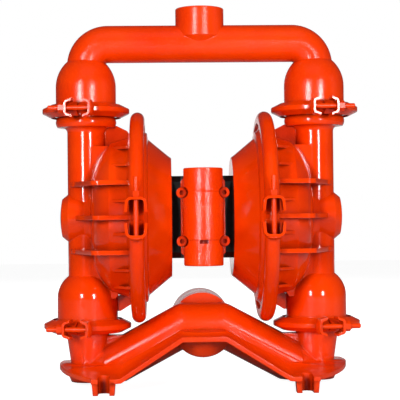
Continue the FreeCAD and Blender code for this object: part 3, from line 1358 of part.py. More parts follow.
def band_half(name, sign):
    """Half of a large clamp: a band turned about the shaft line, above or below it."""
    body = new_body(name)
    under = "clamp_radius - clamp_strip"
    rim = "diaphragm_thickness / 2 + flange_edge + clamp_fit"
    foot = rim + " + clamp_taper * (flange_radius - clamp_leg_radius)"
    top = rim + " - clamp_taper * (%s - flange_radius)" % under
    bend = {"": "-clamp_half_width", "-": "clamp_half_width"}[sign]
    section = [
        ("joint_x - clamp_half_width", sign + "clamp_leg_radius"),
        ("joint_x - clamp_half_width", sign + "(clamp_radius - clamp_half_width)", bend),
        ("joint_x", sign + "clamp_radius", bend),
        ("joint_x + clamp_half_width", sign + "(clamp_radius - clamp_half_width)"),
        ("joint_x + clamp_half_width", sign + "clamp_leg_radius"),
        ("joint_x + %s" % foot, sign + "clamp_leg_radius"),
        ("joint_x + %s" % top, sign + "(%s)" % under),
        ("joint_x - (%s)" % top, sign + "(%s)" % under),
        ("joint_x - (%s)" % foot, sign + "clamp_leg_radius"),
    ]
    ring = new_sketch(body, "XZ_Plane", ("0", "shaft_height", "0"))
    revolve(body, draw(ring, section), "H_Axis", angle="180 - 2 * clamp_split")
    ear = ear_outline("joint_x", sign, "ear_rise", "ear_tip", "ear_half_width", "ear_flat", "ear_bend")
    for front in ("", "-"):
        face = new_sketch(body, "XZ_Plane", ("0", "shaft_height", front + "(clamp_radius - 2 * clamp_strip)"))
        pad(body, draw(face, ear), "2 * clamp_strip + ear_reach", both=False, reverse=front == "-")
    holes = new_sketch(body, "XY_Plane", ("0", "0", "shaft_height"))
    for front in ("", "-"):
        draw_circle(holes, "joint_x", front + "(clamp_radius + large_bolt_reach)", "bolt_radius + bolt_gap")
    pad(body, holes, "ear_rise + 5", both=False, cut=True, reverse=sign == "")
    return body


def ear_outline(middle, sign, rise, tip, half, flat, bend, lying=False):
    """The arched strip of a clamp ear seen along its edge, upright or lying on its side."""
    turn = "-" if (sign == "") != lying else ""
    back = "" if turn else "-"
    shoulder = "(%s - %s)" % (rise, bend)
    wide = "(%s + %s)" % (flat, bend)
    outside = "%s%s" % (turn, bend)
    inside = "%s(%s - ear_strip)" % (back, bend)
    outline = [
        ("%s + %s" % (middle, flat), sign + rise, outside),
        ("%s + %s" % (middle, wide), sign + shoulder),
        ("%s + %s" % (middle, half), sign + tip),
        ("%s + %s - ear_strip" % (middle, half), sign + tip),
        ("%s + %s - ear_strip" % (middle, wide), sign + shoulder, inside),
        ("%s + %s" % (middle, flat), "%s(%s - ear_strip)" % (sign, rise)),
        ("%s - %s" % (middle, flat), "%s(%s - ear_strip)" % (sign, rise), inside),
        ("%s - %s + ear_strip" % (middle, wide), sign + shoulder),
        ("%s - %s + ear_strip" % (middle, half), sign + tip),
        ("%s - %s" % (middle, half), sign + tip),
        ("%s - %s" % (middle, wide), sign + shoulder, outside),
        ("%s - %s" % (middle, flat), sign + rise),
    ]
    return [(corner[1], corner[0]) + corner[2:] for corner in outline] if lying else outline


def clamp_bolt(name, length):
    """A round head bolt along Z, its head's underside at the origin."""
    return turned(name, [
        ("0", "-bolt_head_height", "round"),
        ("bolt_head_radius", "-1"),
        ("bolt_head_radius", "0"),
        ("bolt_radius", "0"),
        ("bolt_radius", "%s - 0.8" % length),
        ("bolt_radius - 0.8", length),
        ("0", length),
    ], ("0", "0", "0"), "V_Axis")


def clamp_nut(name):
    """A hexagon nut along Z, its lower face at the origin."""
    body = new_body(name)
    pad(body, draw(new_sketch(body, "XY_Plane"), hexagon("nut_radius")), "nut_height", both=False)
    bore = draw_circle(new_sketch(body, "XY_Plane"), "0", "0", "bolt_radius + thread_gap")
    pad(body, bore, "3 * nut_height", cut=True)
    return body


def large_clamp_bolts(name):
    bolt = clamp_bolt(name + "_bolt", "large_bolt_length")
    put(bolt, "joint_x", "-(clamp_radius + large_bolt_reach)", "shaft_height - ear_rise")
    return group(name, [bolt, mirrored(bolt, name + "_rear", (0, 1, 0))])


def large_clamp_nuts(name):
    nut = clamp_nut(name + "_nut")
    put(nut, "joint_x", "-(clamp_radius + large_bolt_reach)", "shaft_height + ear_rise")
    return group(name, [nut, mirrored(nut, name + "_rear", (0, 1, 0))])


def small_band_half(name, sign, height, turn):
    """Half of a small clamp, turned about the liquid column."""
    body = new_body(name)
    under = "(small_clamp_radius - small_clamp_strip)"
    rim = "small_flange_edge + clamp_fit"
    foot = "(%s + small_taper_slope * (small_flange_radius - small_clamp_leg_radius))" % rim
    top = "(%s - small_taper_slope * (%s - small_flange_radius))" % (rim, under)
    edge = "(small_clamp_radius - 1.8)"
    brow = "(small_clamp_half_height - small_taper_slope * (%s - small_clamp_leg_radius))" % edge
    bend = {"": "3", "-": "-3"}[sign]
    section = [
        (sign + "small_clamp_leg_radius", "-small_clamp_half_height"),
        (sign + edge, "-" + brow, bend),
        (sign + "small_clamp_radius", "-small_clamp_crown"),
        (sign + "small_clamp_radius", "small_clamp_crown", bend),
        (sign + edge, brow),
        (sign + "small_clamp_leg_radius", "small_clamp_half_height"),
        (sign + "small_clamp_leg_radius", foot),
        (sign + under, top),
        (sign + under, "-" + top),
        (sign + "small_clamp_leg_radius", "-" + foot),
    ]
    revolve(body, draw(new_sketch(body, "XZ_Plane"), section), "V_Axis", angle="180 - 2 * small_clamp_split")
    ear = ear_outline("0", sign, "small_ear_rise", "small_ear_tip", "small_ear_half_width", "small_ear_flat",
                      "small_ear_bend", lying=True)
    for front in ("", "-"):
        face = new_sketch(body, "XZ_Plane", ("0", "0", front + under))
        pad(body, draw(face, ear), "small_clamp_strip + small_ear_reach", both=False, reverse=front == "-")
    holes = new_sketch(body, "YZ_Plane")
    for front in ("", "-"):
        draw_circle(holes, front + "(small_clamp_radius + small_bolt_reach)", "0", "bolt_radius + bolt_gap")
    pad(body, holes, "small_ear_rise + 5", both=False, cut=True, reverse=sign == "")
    return put(body, "column_x", "0", height, (0, 0, 1), turn)


def lie_across(item, travel, height, turn, front):
    """Lays a fastener along a small clamp's bolt line, before or behind the liquid column."""
    reach = front + "(small_clamp_radius + small_bolt_reach)"
    across = "column_x + cos(%s) * (%s) + sin(%s) * %s" % (turn, travel, turn, reach)
    back = "sin(%s) * (%s) - cos(%s) * %s" % (turn, travel, turn, reach)
    swing = FreeCAD.Rotation(FreeCAD.Vector(0, 0, 1), number(turn))
    lie = FreeCAD.Rotation(FreeCAD.Vector(0, 1, 0), 90)
    item.Placement = FreeCAD.Placement(FreeCAD.Vector(0, 0, 0), swing.multiply(lie))
    for axis, amount in zip("xyz", (across, back, height)):
        tie(item, "Placement.Base." + axis, amount)
    return item


def small_clamp_fasteners():
    """The bolts and nuts of all four small clamps."""
    bolts = []
    nuts = []
    for where, height in (("upper", "shaft_height + upper_joint_rise"),
                          ("lower", "shaft_height - lower_joint_drop")):
        turn = where + "_clamp_turn"
        for side, front in (("front", ""), ("rear", "-")):
            bolt = clamp_bolt("small_bolt_%s_%s" % (where, side), "small_bolt_length")
            bolts.append(lie_across(bolt, "-small_ear_rise", height, turn, front))
            nut = clamp_nut("small_nut_%s_%s" % (where, side))
            nuts.append(lie_across(nut, "small_ear_rise", height, turn, front))
    for label, items in (("small_clamp_bolts", bolts), ("small_clamp_nuts", nuts)):
        others = [mirrored(item, item.Name + "_left") for item in items]
        part(group(label, items + others), label)


def valve_seat(name, joint):
    return turned(name, [
        ("seat_bore", joint),
        ("bell_bore - seat_gap", joint),
        ("bell_bore - seat_gap", joint + " + seat_height"),
        ("seat_bore + seat_height - seat_land", joint + " + seat_height"),
        ("seat_bore", joint + " + seat_land"),
    ], ("column_x", "shaft_height", "0"), "V_Axis")


def valve_ball(name, joint):
    ball = doc.addObject("Part::Sphere", name)
    tie(ball, "Radius", "ball_radius")
    tie(ball, "Placement.Base.x", "column_x")
    tie(ball, "Placement.Base.z", "shaft_height + %s + %s" % (joint, BALL_REST))
    return ball


def seat_o_ring(name, joint):
    ring = doc.addObject("Part::Torus", name)
    tie(ring, "Radius1", "o_ring_radius")
    tie(ring, "Radius2", "o_ring_section")
    tie(ring, "Placement.Base.x", "column_x")
    tie(ring, "Placement.Base.z", "shaft_height + %s - o_ring_section" % joint)
    return ring


def whole_pump():
    discharge_manifold()
    inlet_manifold()
    pair(liquid_chamber, "liquid_chamber")
    pair(air_chamber, "air_chamber")
    center_block()
    pair(center_gasket, "center_gasket")
    pair(center_screws, "center_screws")
    air_valve_body()
    air_valve_cap("air_valve_cap_upper", "")
    air_valve_cap("air_valve_cap_lower", "-")
    air_valve_gasket()
    air_valve_screws()
    air_valve_spool()
    pilot_spool()
    pilot_sleeve()
    main_shaft()
    pair(shaft_bushing, "shaft_bushing")
    pair(shaft_seal, "shaft_seal")
    pair(inner_piston, "inner_piston")
    pair(outer_piston, "outer_piston")
    pair(diaphragm, "diaphragm")
    pair(band_half, "large_clamp_upper", "")
    pair(band_half, "large_clamp_lower", "-")
    pair(large_clamp_bolts, "large_clamp_bolts")
    pair(large_clamp_nuts, "large_clamp_nuts")
    for where, joint, turn in (
        ("discharge", "upper_joint_rise", "upper_clamp_turn"),
        ("inlet", "-lower_joint_drop", "lower_clamp_turn"),
    ):
        height = "shaft_height + " + joint
        pair(small_band_half, where + "_clamp_outer", "", height, turn)
        pair(small_band_half, where + "_clamp_inner", "-", height, turn)
        pair(valve_seat, where + "_seat", joint)
        pair(valve_ball, where + "_ball", joint)
        pair(seat_o_ring, where + "_o_ring", joint)
    small_clamp_fasteners()


def check():
    """Stops on any object that failed, and on any sub-part that isn't sound."""
    for item in doc.Objects:
        if "Invalid" in item.State or "Error" in item.State:
            raise RuntimeError("%s failed: %s" % (item.Label, item.State))
    for item in parts:
        if item.Shape.isNull() or not item.Shape.isValid():
            raise RuntimeError("%s isn't a sound solid" % item.Label)


whole_pump()
doc.recompute()
check()
os.makedirs("parts", exist_ok=True)
for item in parts:
    item.Shape.exportStep("parts/%s.step" % item.Label)
    print(item.Label, len(item.Shape.Solids), round(item.Shape.Volume))
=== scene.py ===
"""Finish and studio for an air operated diaphragm pump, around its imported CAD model.

Two liquid chambers stand on an air centre section, tied by band clamps to a discharge manifold
above and an inlet manifold below. Everything outside but the black centre block is painted
orange red after assembly.
"""

import math

import bmesh
import bpy
from mathutils import Matrix, Vector


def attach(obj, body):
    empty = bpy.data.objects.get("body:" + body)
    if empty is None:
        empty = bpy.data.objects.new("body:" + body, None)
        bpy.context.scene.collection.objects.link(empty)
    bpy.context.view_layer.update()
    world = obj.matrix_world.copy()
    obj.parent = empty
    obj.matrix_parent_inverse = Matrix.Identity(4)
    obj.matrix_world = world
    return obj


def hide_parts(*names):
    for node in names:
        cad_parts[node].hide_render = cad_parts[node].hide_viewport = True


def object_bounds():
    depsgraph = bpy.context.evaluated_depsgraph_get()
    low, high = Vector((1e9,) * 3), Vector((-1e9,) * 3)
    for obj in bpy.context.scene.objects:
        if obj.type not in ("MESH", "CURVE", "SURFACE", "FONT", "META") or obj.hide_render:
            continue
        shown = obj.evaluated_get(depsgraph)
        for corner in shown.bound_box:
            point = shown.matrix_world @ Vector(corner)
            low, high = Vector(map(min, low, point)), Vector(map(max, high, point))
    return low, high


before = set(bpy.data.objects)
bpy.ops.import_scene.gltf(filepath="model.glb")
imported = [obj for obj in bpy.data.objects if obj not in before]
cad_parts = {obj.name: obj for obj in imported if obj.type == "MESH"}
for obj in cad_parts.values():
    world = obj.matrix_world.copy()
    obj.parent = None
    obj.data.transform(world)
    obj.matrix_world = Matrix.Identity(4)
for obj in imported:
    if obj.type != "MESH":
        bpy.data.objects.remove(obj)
CAD_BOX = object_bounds()

bl_info = {
    "name": "Diaphragm Pump Finish",
    "version": (1, 0, 0),
    "blender": (4, 5, 0),
    "location": "3D View > Sidebar > Pump",
    "description": "Paint, hardware and studio for an air operated diaphragm pump",
    "category": "Object",
}

MM = 0.001

# Width of the camera's sensor, in millimetres
SENSOR_WIDTH = 36.0

# Edges of the redrawn inlet casting that turn by more than this stay sharp
CREASE = math.radians(24)

# How many flat sides stand for a round tube
TUBE_SIDES = 96

# How the enamel lies, by the record's slot, with a slot of its own for the air valve
ENAMELS = {
    "painted_valve": {
        "name": "painted_valve_casting",
        "grain": 2.4 * MM,
        "grain_depth": 0.50 * MM,
        "roughness": 0.15,
        "edge": 1.2 * MM,
    },
    "painted_rough": {
        "name": "painted_rough_casting",
        "grain": 2.3 * MM,
        "grain_depth": 0.26 * MM,
        "roughness": 0.20,
        "edge": 1.8 * MM,
    },
    "painted_smooth": {
        "name": "painted_smooth_casting",
        "grain": 1.6 * MM,
        "grain_depth": 0.010 * MM,
        "roughness": 0.11,
        "edge": 1.8 * MM,
    },
    "painted_clamps": {
        "name": "painted_bands",
        "grain": 1.8 * MM,
        "grain_depth": 0.010 * MM,
        "roughness": 0.13,
        "edge": 0.9 * MM,
        "gloss_share": 0.7,
    },
    "painted_fasteners": {
        "name": "painted_hardware",
        "grain": 0.9 * MM,
        "grain_depth": 0.03 * MM,
        "roughness": 0.24,
        "edge": 0.5 * MM,
        "gloss_share": 0.45,
    },
}

# The dull black finishes, by the record's slot
RUBBERS = {
    "black_paint": {
        "name": "black_enamel",
        "colour": (0.003, 0.003, 0.003),
        "worn": (0.006, 0.006, 0.006),
        "grain": 0.5 * MM,
        "roughness": 0.45,
    },
    "rubber_black": {
        "name": "black_rubber",
        "colour": (0.012, 0.012, 0.012),
        "worn": (0.03, 0.03, 0.029),
        "grain": 0.5 * MM,
        "roughness": 0.65,
    },
    "diaphragm_rubber": {
        "name": "diaphragm_rubber",
        "colour": (0.02, 0.02, 0.02),
        "worn": (0.05, 0.048, 0.045),
        "grain": 0.6 * MM,
        "roughness": 0.7,
    },
}

# The metals that the paint doesn't reach, by the record's slot
METALS = {
    "seat_metal": {
        "name": "ground_seat_metal",
        "colour": (0.55, 0.55, 0.54),
        "dark": (0.4, 0.4, 0.4),
        "grain": 0.8 * MM,
        "roughness": 0.32,
        "depth": 0.01 * MM,
    },
    "bright_steel": {
        "name": "ground_steel",
        "colour": (0.65, 0.65, 0.66),
        "dark": (0.5, 0.5, 0.52),
        "grain": 0.7 * MM,
        "roughness": 0.18,
        "depth": 0.004 * MM,
    },
    "zinc_steel": {
        "name": "zinc_plated_steel",
        "colour": (0.6, 0.61, 0.6),
        "dark": (0.42, 0.43, 0.4),
        "grain": 1.5 * MM,
        "roughness": 0.3,
        "depth": 0.01 * MM,
    },
    "bronze": {
        "name": "bearing_bronze",
        "colour": (0.5, 0.32, 0.14),
        "dark": (0.36, 0.2, 0.08),
        "grain": 0.9 * MM,
        "roughness": 0.3,
        "depth": 0.008 * MM,
    },
}

# The wide lamps that gloss doesn't mirror: name, place, the power's property, and size, in metres
SOFT_LAMPS = (
    ("fill_lamp", (0.0, -0.9, 1.6), "fill_power", (1.4, 1.0)),
    ("side_panel", (1.5, -0.35, 0.4), "side_power", (0.5, 1.0)),
    ("rear_left_lamp", (-0.75, 2.0, 0.9), "rear_power", (0.7, 0.9)),
    ("rear_right_lamp", (0.75, 2.0, 0.9), "rear_power", (0.7, 0.9)),
)

# From the floor's middle to its edges
FLOOR_HALF_WIDTH = 4.0

# Where the floor begins to count as behind the pump, and where it wholly does
FLOOR_BEHIND = (2.0, 4.0)

# The same for a direction in the room, as the part of it that leads straight back
WORLD_BEHIND = (0.97, 1.0)


def node(tree, kind, inputs=None, **settings):
    """Adds a shader node, with its settings, and sets or links its inputs."""
    new = tree.nodes.new(kind)
    for key, value in settings.items():
        setattr(new, key, value)
    for key, value in (inputs or {}).items():
        if isinstance(value, bpy.types.NodeSocket):
            tree.links.new(value, new.inputs[key])
        else:
            new.inputs[key].default_value = value
    return new


def object_place(tree):
    """The point's place in the object's own frame, in metres, which moves with the piece."""
    return node(tree, "ShaderNodeTexCoord").outputs["Object"]


def noise(tree, size, detail=3.0, roughness=0.5):
    """Noise from 0 to 1 whose lumps are about size metres across."""
    inputs = {
        "Vector": object_place(tree),
        "Scale": 1.0 / size,
        "Detail": detail,
        "Roughness": roughness,
    }
    return node(tree, "ShaderNodeTexNoise", inputs).outputs["Fac"]


def between(tree, value, low, high, start=0.3, end=0.7):
    """value, as it goes from start to end, mapped to low to high."""
    inputs = {
        "Value": value,
        "From Min": start,
        "From Max": end,
        "To Min": low,
        "To Max": high,
    }
    return node(tree, "ShaderNodeMapRange", inputs).outputs["Result"]


def mixed(tree, factor, first, second):
    """A colour between two colours, by factor."""
    mix = node(tree, "ShaderNodeMix", data_type="RGBA")
    # The node has other sockets with the same names, so these go by number
    share, start, end, result = mix.inputs[0], mix.inputs[6], mix.inputs[7], mix.outputs[2]
    tree.links.new(factor, share)
    for socket, colour in ((start, first), (end, second)):
        if isinstance(colour, bpy.types.NodeSocket):
            tree.links.new(colour, socket)
        else:
            socket.default_value = (*colour[:3], 1.0)
    return result


def bumped(tree, height, depth, normal=None):
    """A normal bent by a height field that is depth metres deep."""
    inputs = {"Height": height, "Distance": depth, "Strength": 1.0}
    if normal is not None:
        inputs["Normal"] = normal
    return node(tree, "ShaderNodeBump", inputs).outputs["Normal"]


def softened(tree, radius):
    """A normal that rounds every edge over radius metres, as thick paint does."""
    return node(tree, "ShaderNodeBevel", {"Radius": radius}, samples=6).outputs["Normal"]


def new_material(name):
    """An empty principled material, its tree and its shader."""
    material = bpy.data.materials.new(name)
    material.use_nodes = True
    tree = material.node_tree
    return material, tree, tree.nodes["Principled BSDF"]


def paint(settings, name, grain, grain_depth, roughness, edge, gloss_share=1.0):
    """Sprayed gloss enamel, with orange peel, over a casting's grain.

    The colour is cloudy, with painted highlights on the tops of the grain and painted shade in
    corners and recesses.
    """
    material, tree, shader = new_material(name)
    clouds = noise(tree, settings.cloud_size, detail=4.0)
    colour = mixed(tree, between(tree, clouds, 0.0, 1.0), settings.colour, settings.deep_colour)
    speckle = noise(tree, grain, detail=2.0, roughness=0.6)
    # Painted highlight: the tops of the grain are lightened, as if they caught the light
    tops = between(tree, speckle, low=0.0, high=0.35, start=0.55, end=0.8)
    colour = mixed(tree, tops, colour, settings.grain_highlight_colour)
    # Painted shade: corners, recesses and the gaps between fins, where ambient occlusion finds the
    # surroundings close, are darkened towards a near-black red
    reach = {"Distance": settings.corner_shade_reach}
    openness = node(tree, "ShaderNodeAmbientOcclusion", reach, samples=4).outputs["AO"]
    painted_corner_shade = between(tree, openness, low=0.72, high=0.0, start=0.12, end=0.75)
    colour = mixed(tree, painted_corner_shade, colour, settings.corner_shade_colour)
    tree.links.new(colour, shader.inputs["Base Color"])
    patches = noise(tree, settings.cloud_size * 0.4)
    sheen = between(tree, patches, low=roughness * 0.8, high=roughness * 1.25)
    tree.links.new(sheen, shader.inputs["Roughness"])
    peel = noise(tree, settings.peel_size, detail=1.0)
    normal = bumped(tree, peel, settings.peel_depth, softened(tree, edge))
    normal = bumped(tree, speckle, grain_depth, normal)
    tree.links.new(normal, shader.inputs["Normal"])
    shader.inputs["Specular IOR Level"].default_value = settings.gloss * gloss_share
    return material


def metal(name, colour, dark, grain, roughness, depth):
    """Bare or plated metal with fine turning or grinding marks."""
    material, tree, shader = new_material(name)
    marks = noise(tree, grain, detail=5.0, roughness=0.65)
    shade = mixed(tree, between(tree, marks, 0.0, 1.0), colour, dark)
    tree.links.new(shade, shader.inputs["Base Color"])
    sheen = between(tree, marks, low=roughness * 0.75, high=roughness * 1.3)
    tree.links.new(sheen, shader.inputs["Roughness"])
    tree.links.new(bumped(tree, marks, depth), shader.inputs["Normal"])
    shader.inputs["Metallic"].default_value = 1.0
    return material


def rubber(name, colour, worn, grain, roughness):
    """A dull black with a fine matt grain and paler rubbed patches."""
    material, tree, shader = new_material(name)
    patches = noise(tree, grain * 12, detail=4.0)
    fine = noise(tree, grain, detail=2.0)
    shade = mixed(tree, between(tree, patches, 0.0, 1.0), colour, worn)
    tree.links.new(shade, shader.inputs["Base Color"])
    sheen = between(tree, fine, low=roughness * 0.85, high=roughness * 1.15)
    tree.links.new(sheen, shader.inputs["Roughness"])
    tree.links.new(bumped(tree, fine, grain * 0.06), shader.inputs["Normal"])
    shader.inputs["Specular IOR Level"].default_value = 0.15
    return material


def finish_nodes(finishes):
    """Gives each CAD node whose slot is named its finish, and returns how many were finished."""
    done = 0
    for name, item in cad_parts.items():
        for place in item.material_slots:
            slot = place.material.name.split(".")[0] if place.material else ""
            if slot == "painted_rough" and name.startswith("air_valve"):
                slot = "painted_valve"
            if slot in finishes:
                place.material = finishes[slot]
                done += 1
    return done


def swept_tube(points, radius):
    """A closed tube along points, each an x and a z, mitred where it turns."""
    shape = bmesh.new()
    rings = []
    for index, (x, z) in enumerate(points):
        before = Vector(points[max(index - 1, 0)])
        after = Vector(points[min(index + 1, len(points) - 1)])
        here = Vector((x, z))
        into = (here - before).normalized() if index else (after - here).normalized()
        onward = (after - here).normalized() if index < len(points) - 1 else into
        along = (into + onward).normalized()
        reach = radius / along.dot(into)
        across = Vector((-along.y, along.x))
        ring = []
        for step in range(TUBE_SIDES):
            angle = 2 * math.pi * step / TUBE_SIDES
            offset = across * reach * math.cos(angle)
            ring.append(shape.verts.new((x + offset.x, radius * math.sin(angle), z + offset.y)))
        rings.append(ring)
    for first, second in zip(rings, rings[1:]):
        for step in range(TUBE_SIDES):
            later = (step + 1) % TUBE_SIDES
            shape.faces.new((first[step], first[later], second[later], second[step]))
    shape.faces.new(rings[0])
    shape.faces.new(reversed(rings[-1]))
    return finished_mesh(shape, "swept_tube")


def upright_prism(outline, front, back, fall=0.0):
    """A closed block whose outline is seen from the front, and whose front end is lower by fall."""
    shape = bmesh.new()
    ends = []
    for y, lower in ((front, fall), (back, 0.0)):
        ends.append([shape.verts.new((x, y, z - lower)) for x, z in outline])
    for index in range(len(outline)):
        later = (index + 1) % len(outline)
        shape.faces.new((ends[0][index], ends[0][later], ends[1][later], ends[1][index]))
    shape.faces.new(ends[0])
    shape.faces.new(reversed(ends[1]))
    return finished_mesh(shape, "upright_prism")


def finished_mesh(shape, name):
    """The mesh of a bmesh whose faces all look outwards."""
    bmesh.ops.recalc_face_normals(shape, faces=shape.faces)
    mesh = bpy.data.meshes.new(name)
    shape.to_mesh(mesh)
    shape.free()
    return mesh


def joined_copy(name):
    """A CAD node's mesh with its seams closed and its slivers gone, as a mesh of its own."""
    seam = 0.002 * MM
    sliver = 0.001 * MM
    shape = bmesh.new()
    shape.from_mesh(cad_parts[name].data)
    bmesh.ops.remove_doubles(shape, verts=shape.verts, dist=seam)
    bmesh.ops.dissolve_degenerate(shape, edges=shape.edges, dist=sliver)
    mesh = finished_mesh(shape, name)
    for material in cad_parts[name].data.materials:
        mesh.materials.append(material)
    return mesh


def combined(mesh, tool, operation):
    """mesh with tool cut from it, joined to it, or kept in common with it. Both are used up."""
    pair = []
    for data in (mesh, tool):
        item = bpy.data.objects.new(data.name, data)
        bpy.context.scene.collection.objects.link(item)
        pair.append(item)
    change = pair[0].modifiers.new("change", "BOOLEAN")
    change.operation = operation
    change.solver = "EXACT"
    change.object = pair[1]
    shown = pair[0].evaluated_get(bpy.context.evaluated_depsgraph_get())
    result = bpy.data.meshes.new_from_object(shown)
    for item in pair:
        data = item.data
        bpy.data.objects.remove(item)
        bpy.data.meshes.remove(data)
    return result


def new_piece(name, mesh, body):
    """A visible piece on a CAD body, smooth except over its sharp edges."""
    mesh.name = name
    mesh.shade_smooth()
    mesh.set_sharp_from_angle(angle=CREASE)
    piece = bpy.data.objects.new(name, mesh)
    bpy.context.scene.collection.objects.link(piece)
    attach(piece, body)
    return piece


def inlet_front_mesh():
    """The inlet casting with its arms running unbroken across the front of the port.

    A window above the foot plate takes the port's domed front away, but not the arms. One tube
    is then laid over the front of both arms. Both stay clear of the sloping plate.
    """
    arm_height = 70.5 * MM
    arm_bend = 22 * MM
    arm_slope = math.tan(math.radians(28.2))
    kept_reach = 75 * MM
    kept_radius = 26.2 * MM
    face_reach = 118 * MM
    face_radius = 26.4 * MM
    plate_bend = 26.5 * MM
    plate_slope = 0.5665
    plate_fall = 6.6 * MM
    window_reach = 46 * MM
    window_ridge = 69.8 * MM
    front_reach = 119 * MM
    front_ridge = 62 * MM
    top = 125 * MM
    front = -60 * MM
    window_rear = 14 * MM
    face_rear = -9 * MM

    def arm_line(reach):
        low = arm_height - (reach - arm_bend) * arm_slope
        return [(-reach, low), (-arm_bend, arm_height), (arm_bend, arm_height), (reach, low)]

    def above_plate(reach, ridge):
        low = ridge - (reach - plate_bend) * plate_slope
        return [(-reach, low), (-plate_bend, ridge), (plate_bend, ridge), (reach, low),
                (reach, top), (-reach, top)]

    kept = swept_tube(arm_line(kept_reach), kept_radius)
    window = upright_prism(above_plate(window_reach, window_ridge), front, window_rear, plate_fall)
    window = combined(window, kept, "DIFFERENCE")
    casting = combined(joined_copy("inlet_manifold"), window, "DIFFERENCE")
    front_half = upright_prism(above_plate(front_reach, front_ridge), front, face_rear)
    face = combined(swept_tube(arm_line(face_reach), face_radius), front_half, "INTERSECT")
    return combined(casting, face, "UNION")


class PumpPaint(bpy.types.PropertyGroup):
    """The enamel that covers the outside of the pump."""

    colour: bpy.props.FloatVectorProperty(
        name="Colour",
        description="The enamel's main colour",
        subtype="COLOR",
        size=3,
        min=0.0,
        max=1.0,
        default=(0.84, 0.048, 0.0),
    )
    deep_colour: bpy.props.FloatVectorProperty(
        name="Deep Colour",
        description="The enamel where it lies thicker",
        subtype="COLOR",
        size=3,
        min=0.0,
        max=1.0,
        default=(0.74, 0.030, 0.0),
    )
    # Painted highlight: the lighter colour laid on the tops of the casting's grain
    grain_highlight_colour: bpy.props.FloatVectorProperty(
        name="Bright Colour",
        description="The enamel on the tops of the casting's grain",
        subtype="COLOR",
        size=3,
        min=0.0,
        max=1.0,
        default=(0.9, 0.080, 0.003),
    )
    # Painted shade: the near-black red that corners and recesses are darkened to
    corner_shade_colour: bpy.props.FloatVectorProperty(
        name="Pooled Colour",
        description="The enamel and dust that gather in corners",
        subtype="COLOR",
        size=3,
        min=0.0,
        max=1.0,
        default=(0.10, 0.001, 0.0),
    )
    gloss: bpy.props.FloatProperty(
        name="Gloss",
        description="How strongly the enamel reflects, on the shader's own scale",
        subtype="FACTOR",
        default=0.42,
        min=0.0,
        max=1.0,
    )
    cloud_size: bpy.props.FloatProperty(
        name="Cloud Size",
        description="Width of the slow changes of colour",
        subtype="DISTANCE",
        unit="LENGTH",
        default=55 * MM,
    )
    peel_size: bpy.props.FloatProperty(
        name="Peel Size",
        description="Width of the waves that spraying leaves",
        subtype="DISTANCE",
        unit="LENGTH",
        default=7 * MM,
    )
    peel_depth: bpy.props.FloatProperty(
        name="Peel Depth",
        description="Depth of the waves that spraying leaves",
        subtype="DISTANCE",
        unit="LENGTH",
        default=0.05 * MM,
    )
    # Painted shade: how far from a corner the painted darkening reaches
    corner_shade_reach: bpy.props.FloatProperty(
        name="Pool Reach",
        description="How far from a corner the enamel is darker",
        subtype="DISTANCE",
        unit="LENGTH",
        default=18 * MM,
    )


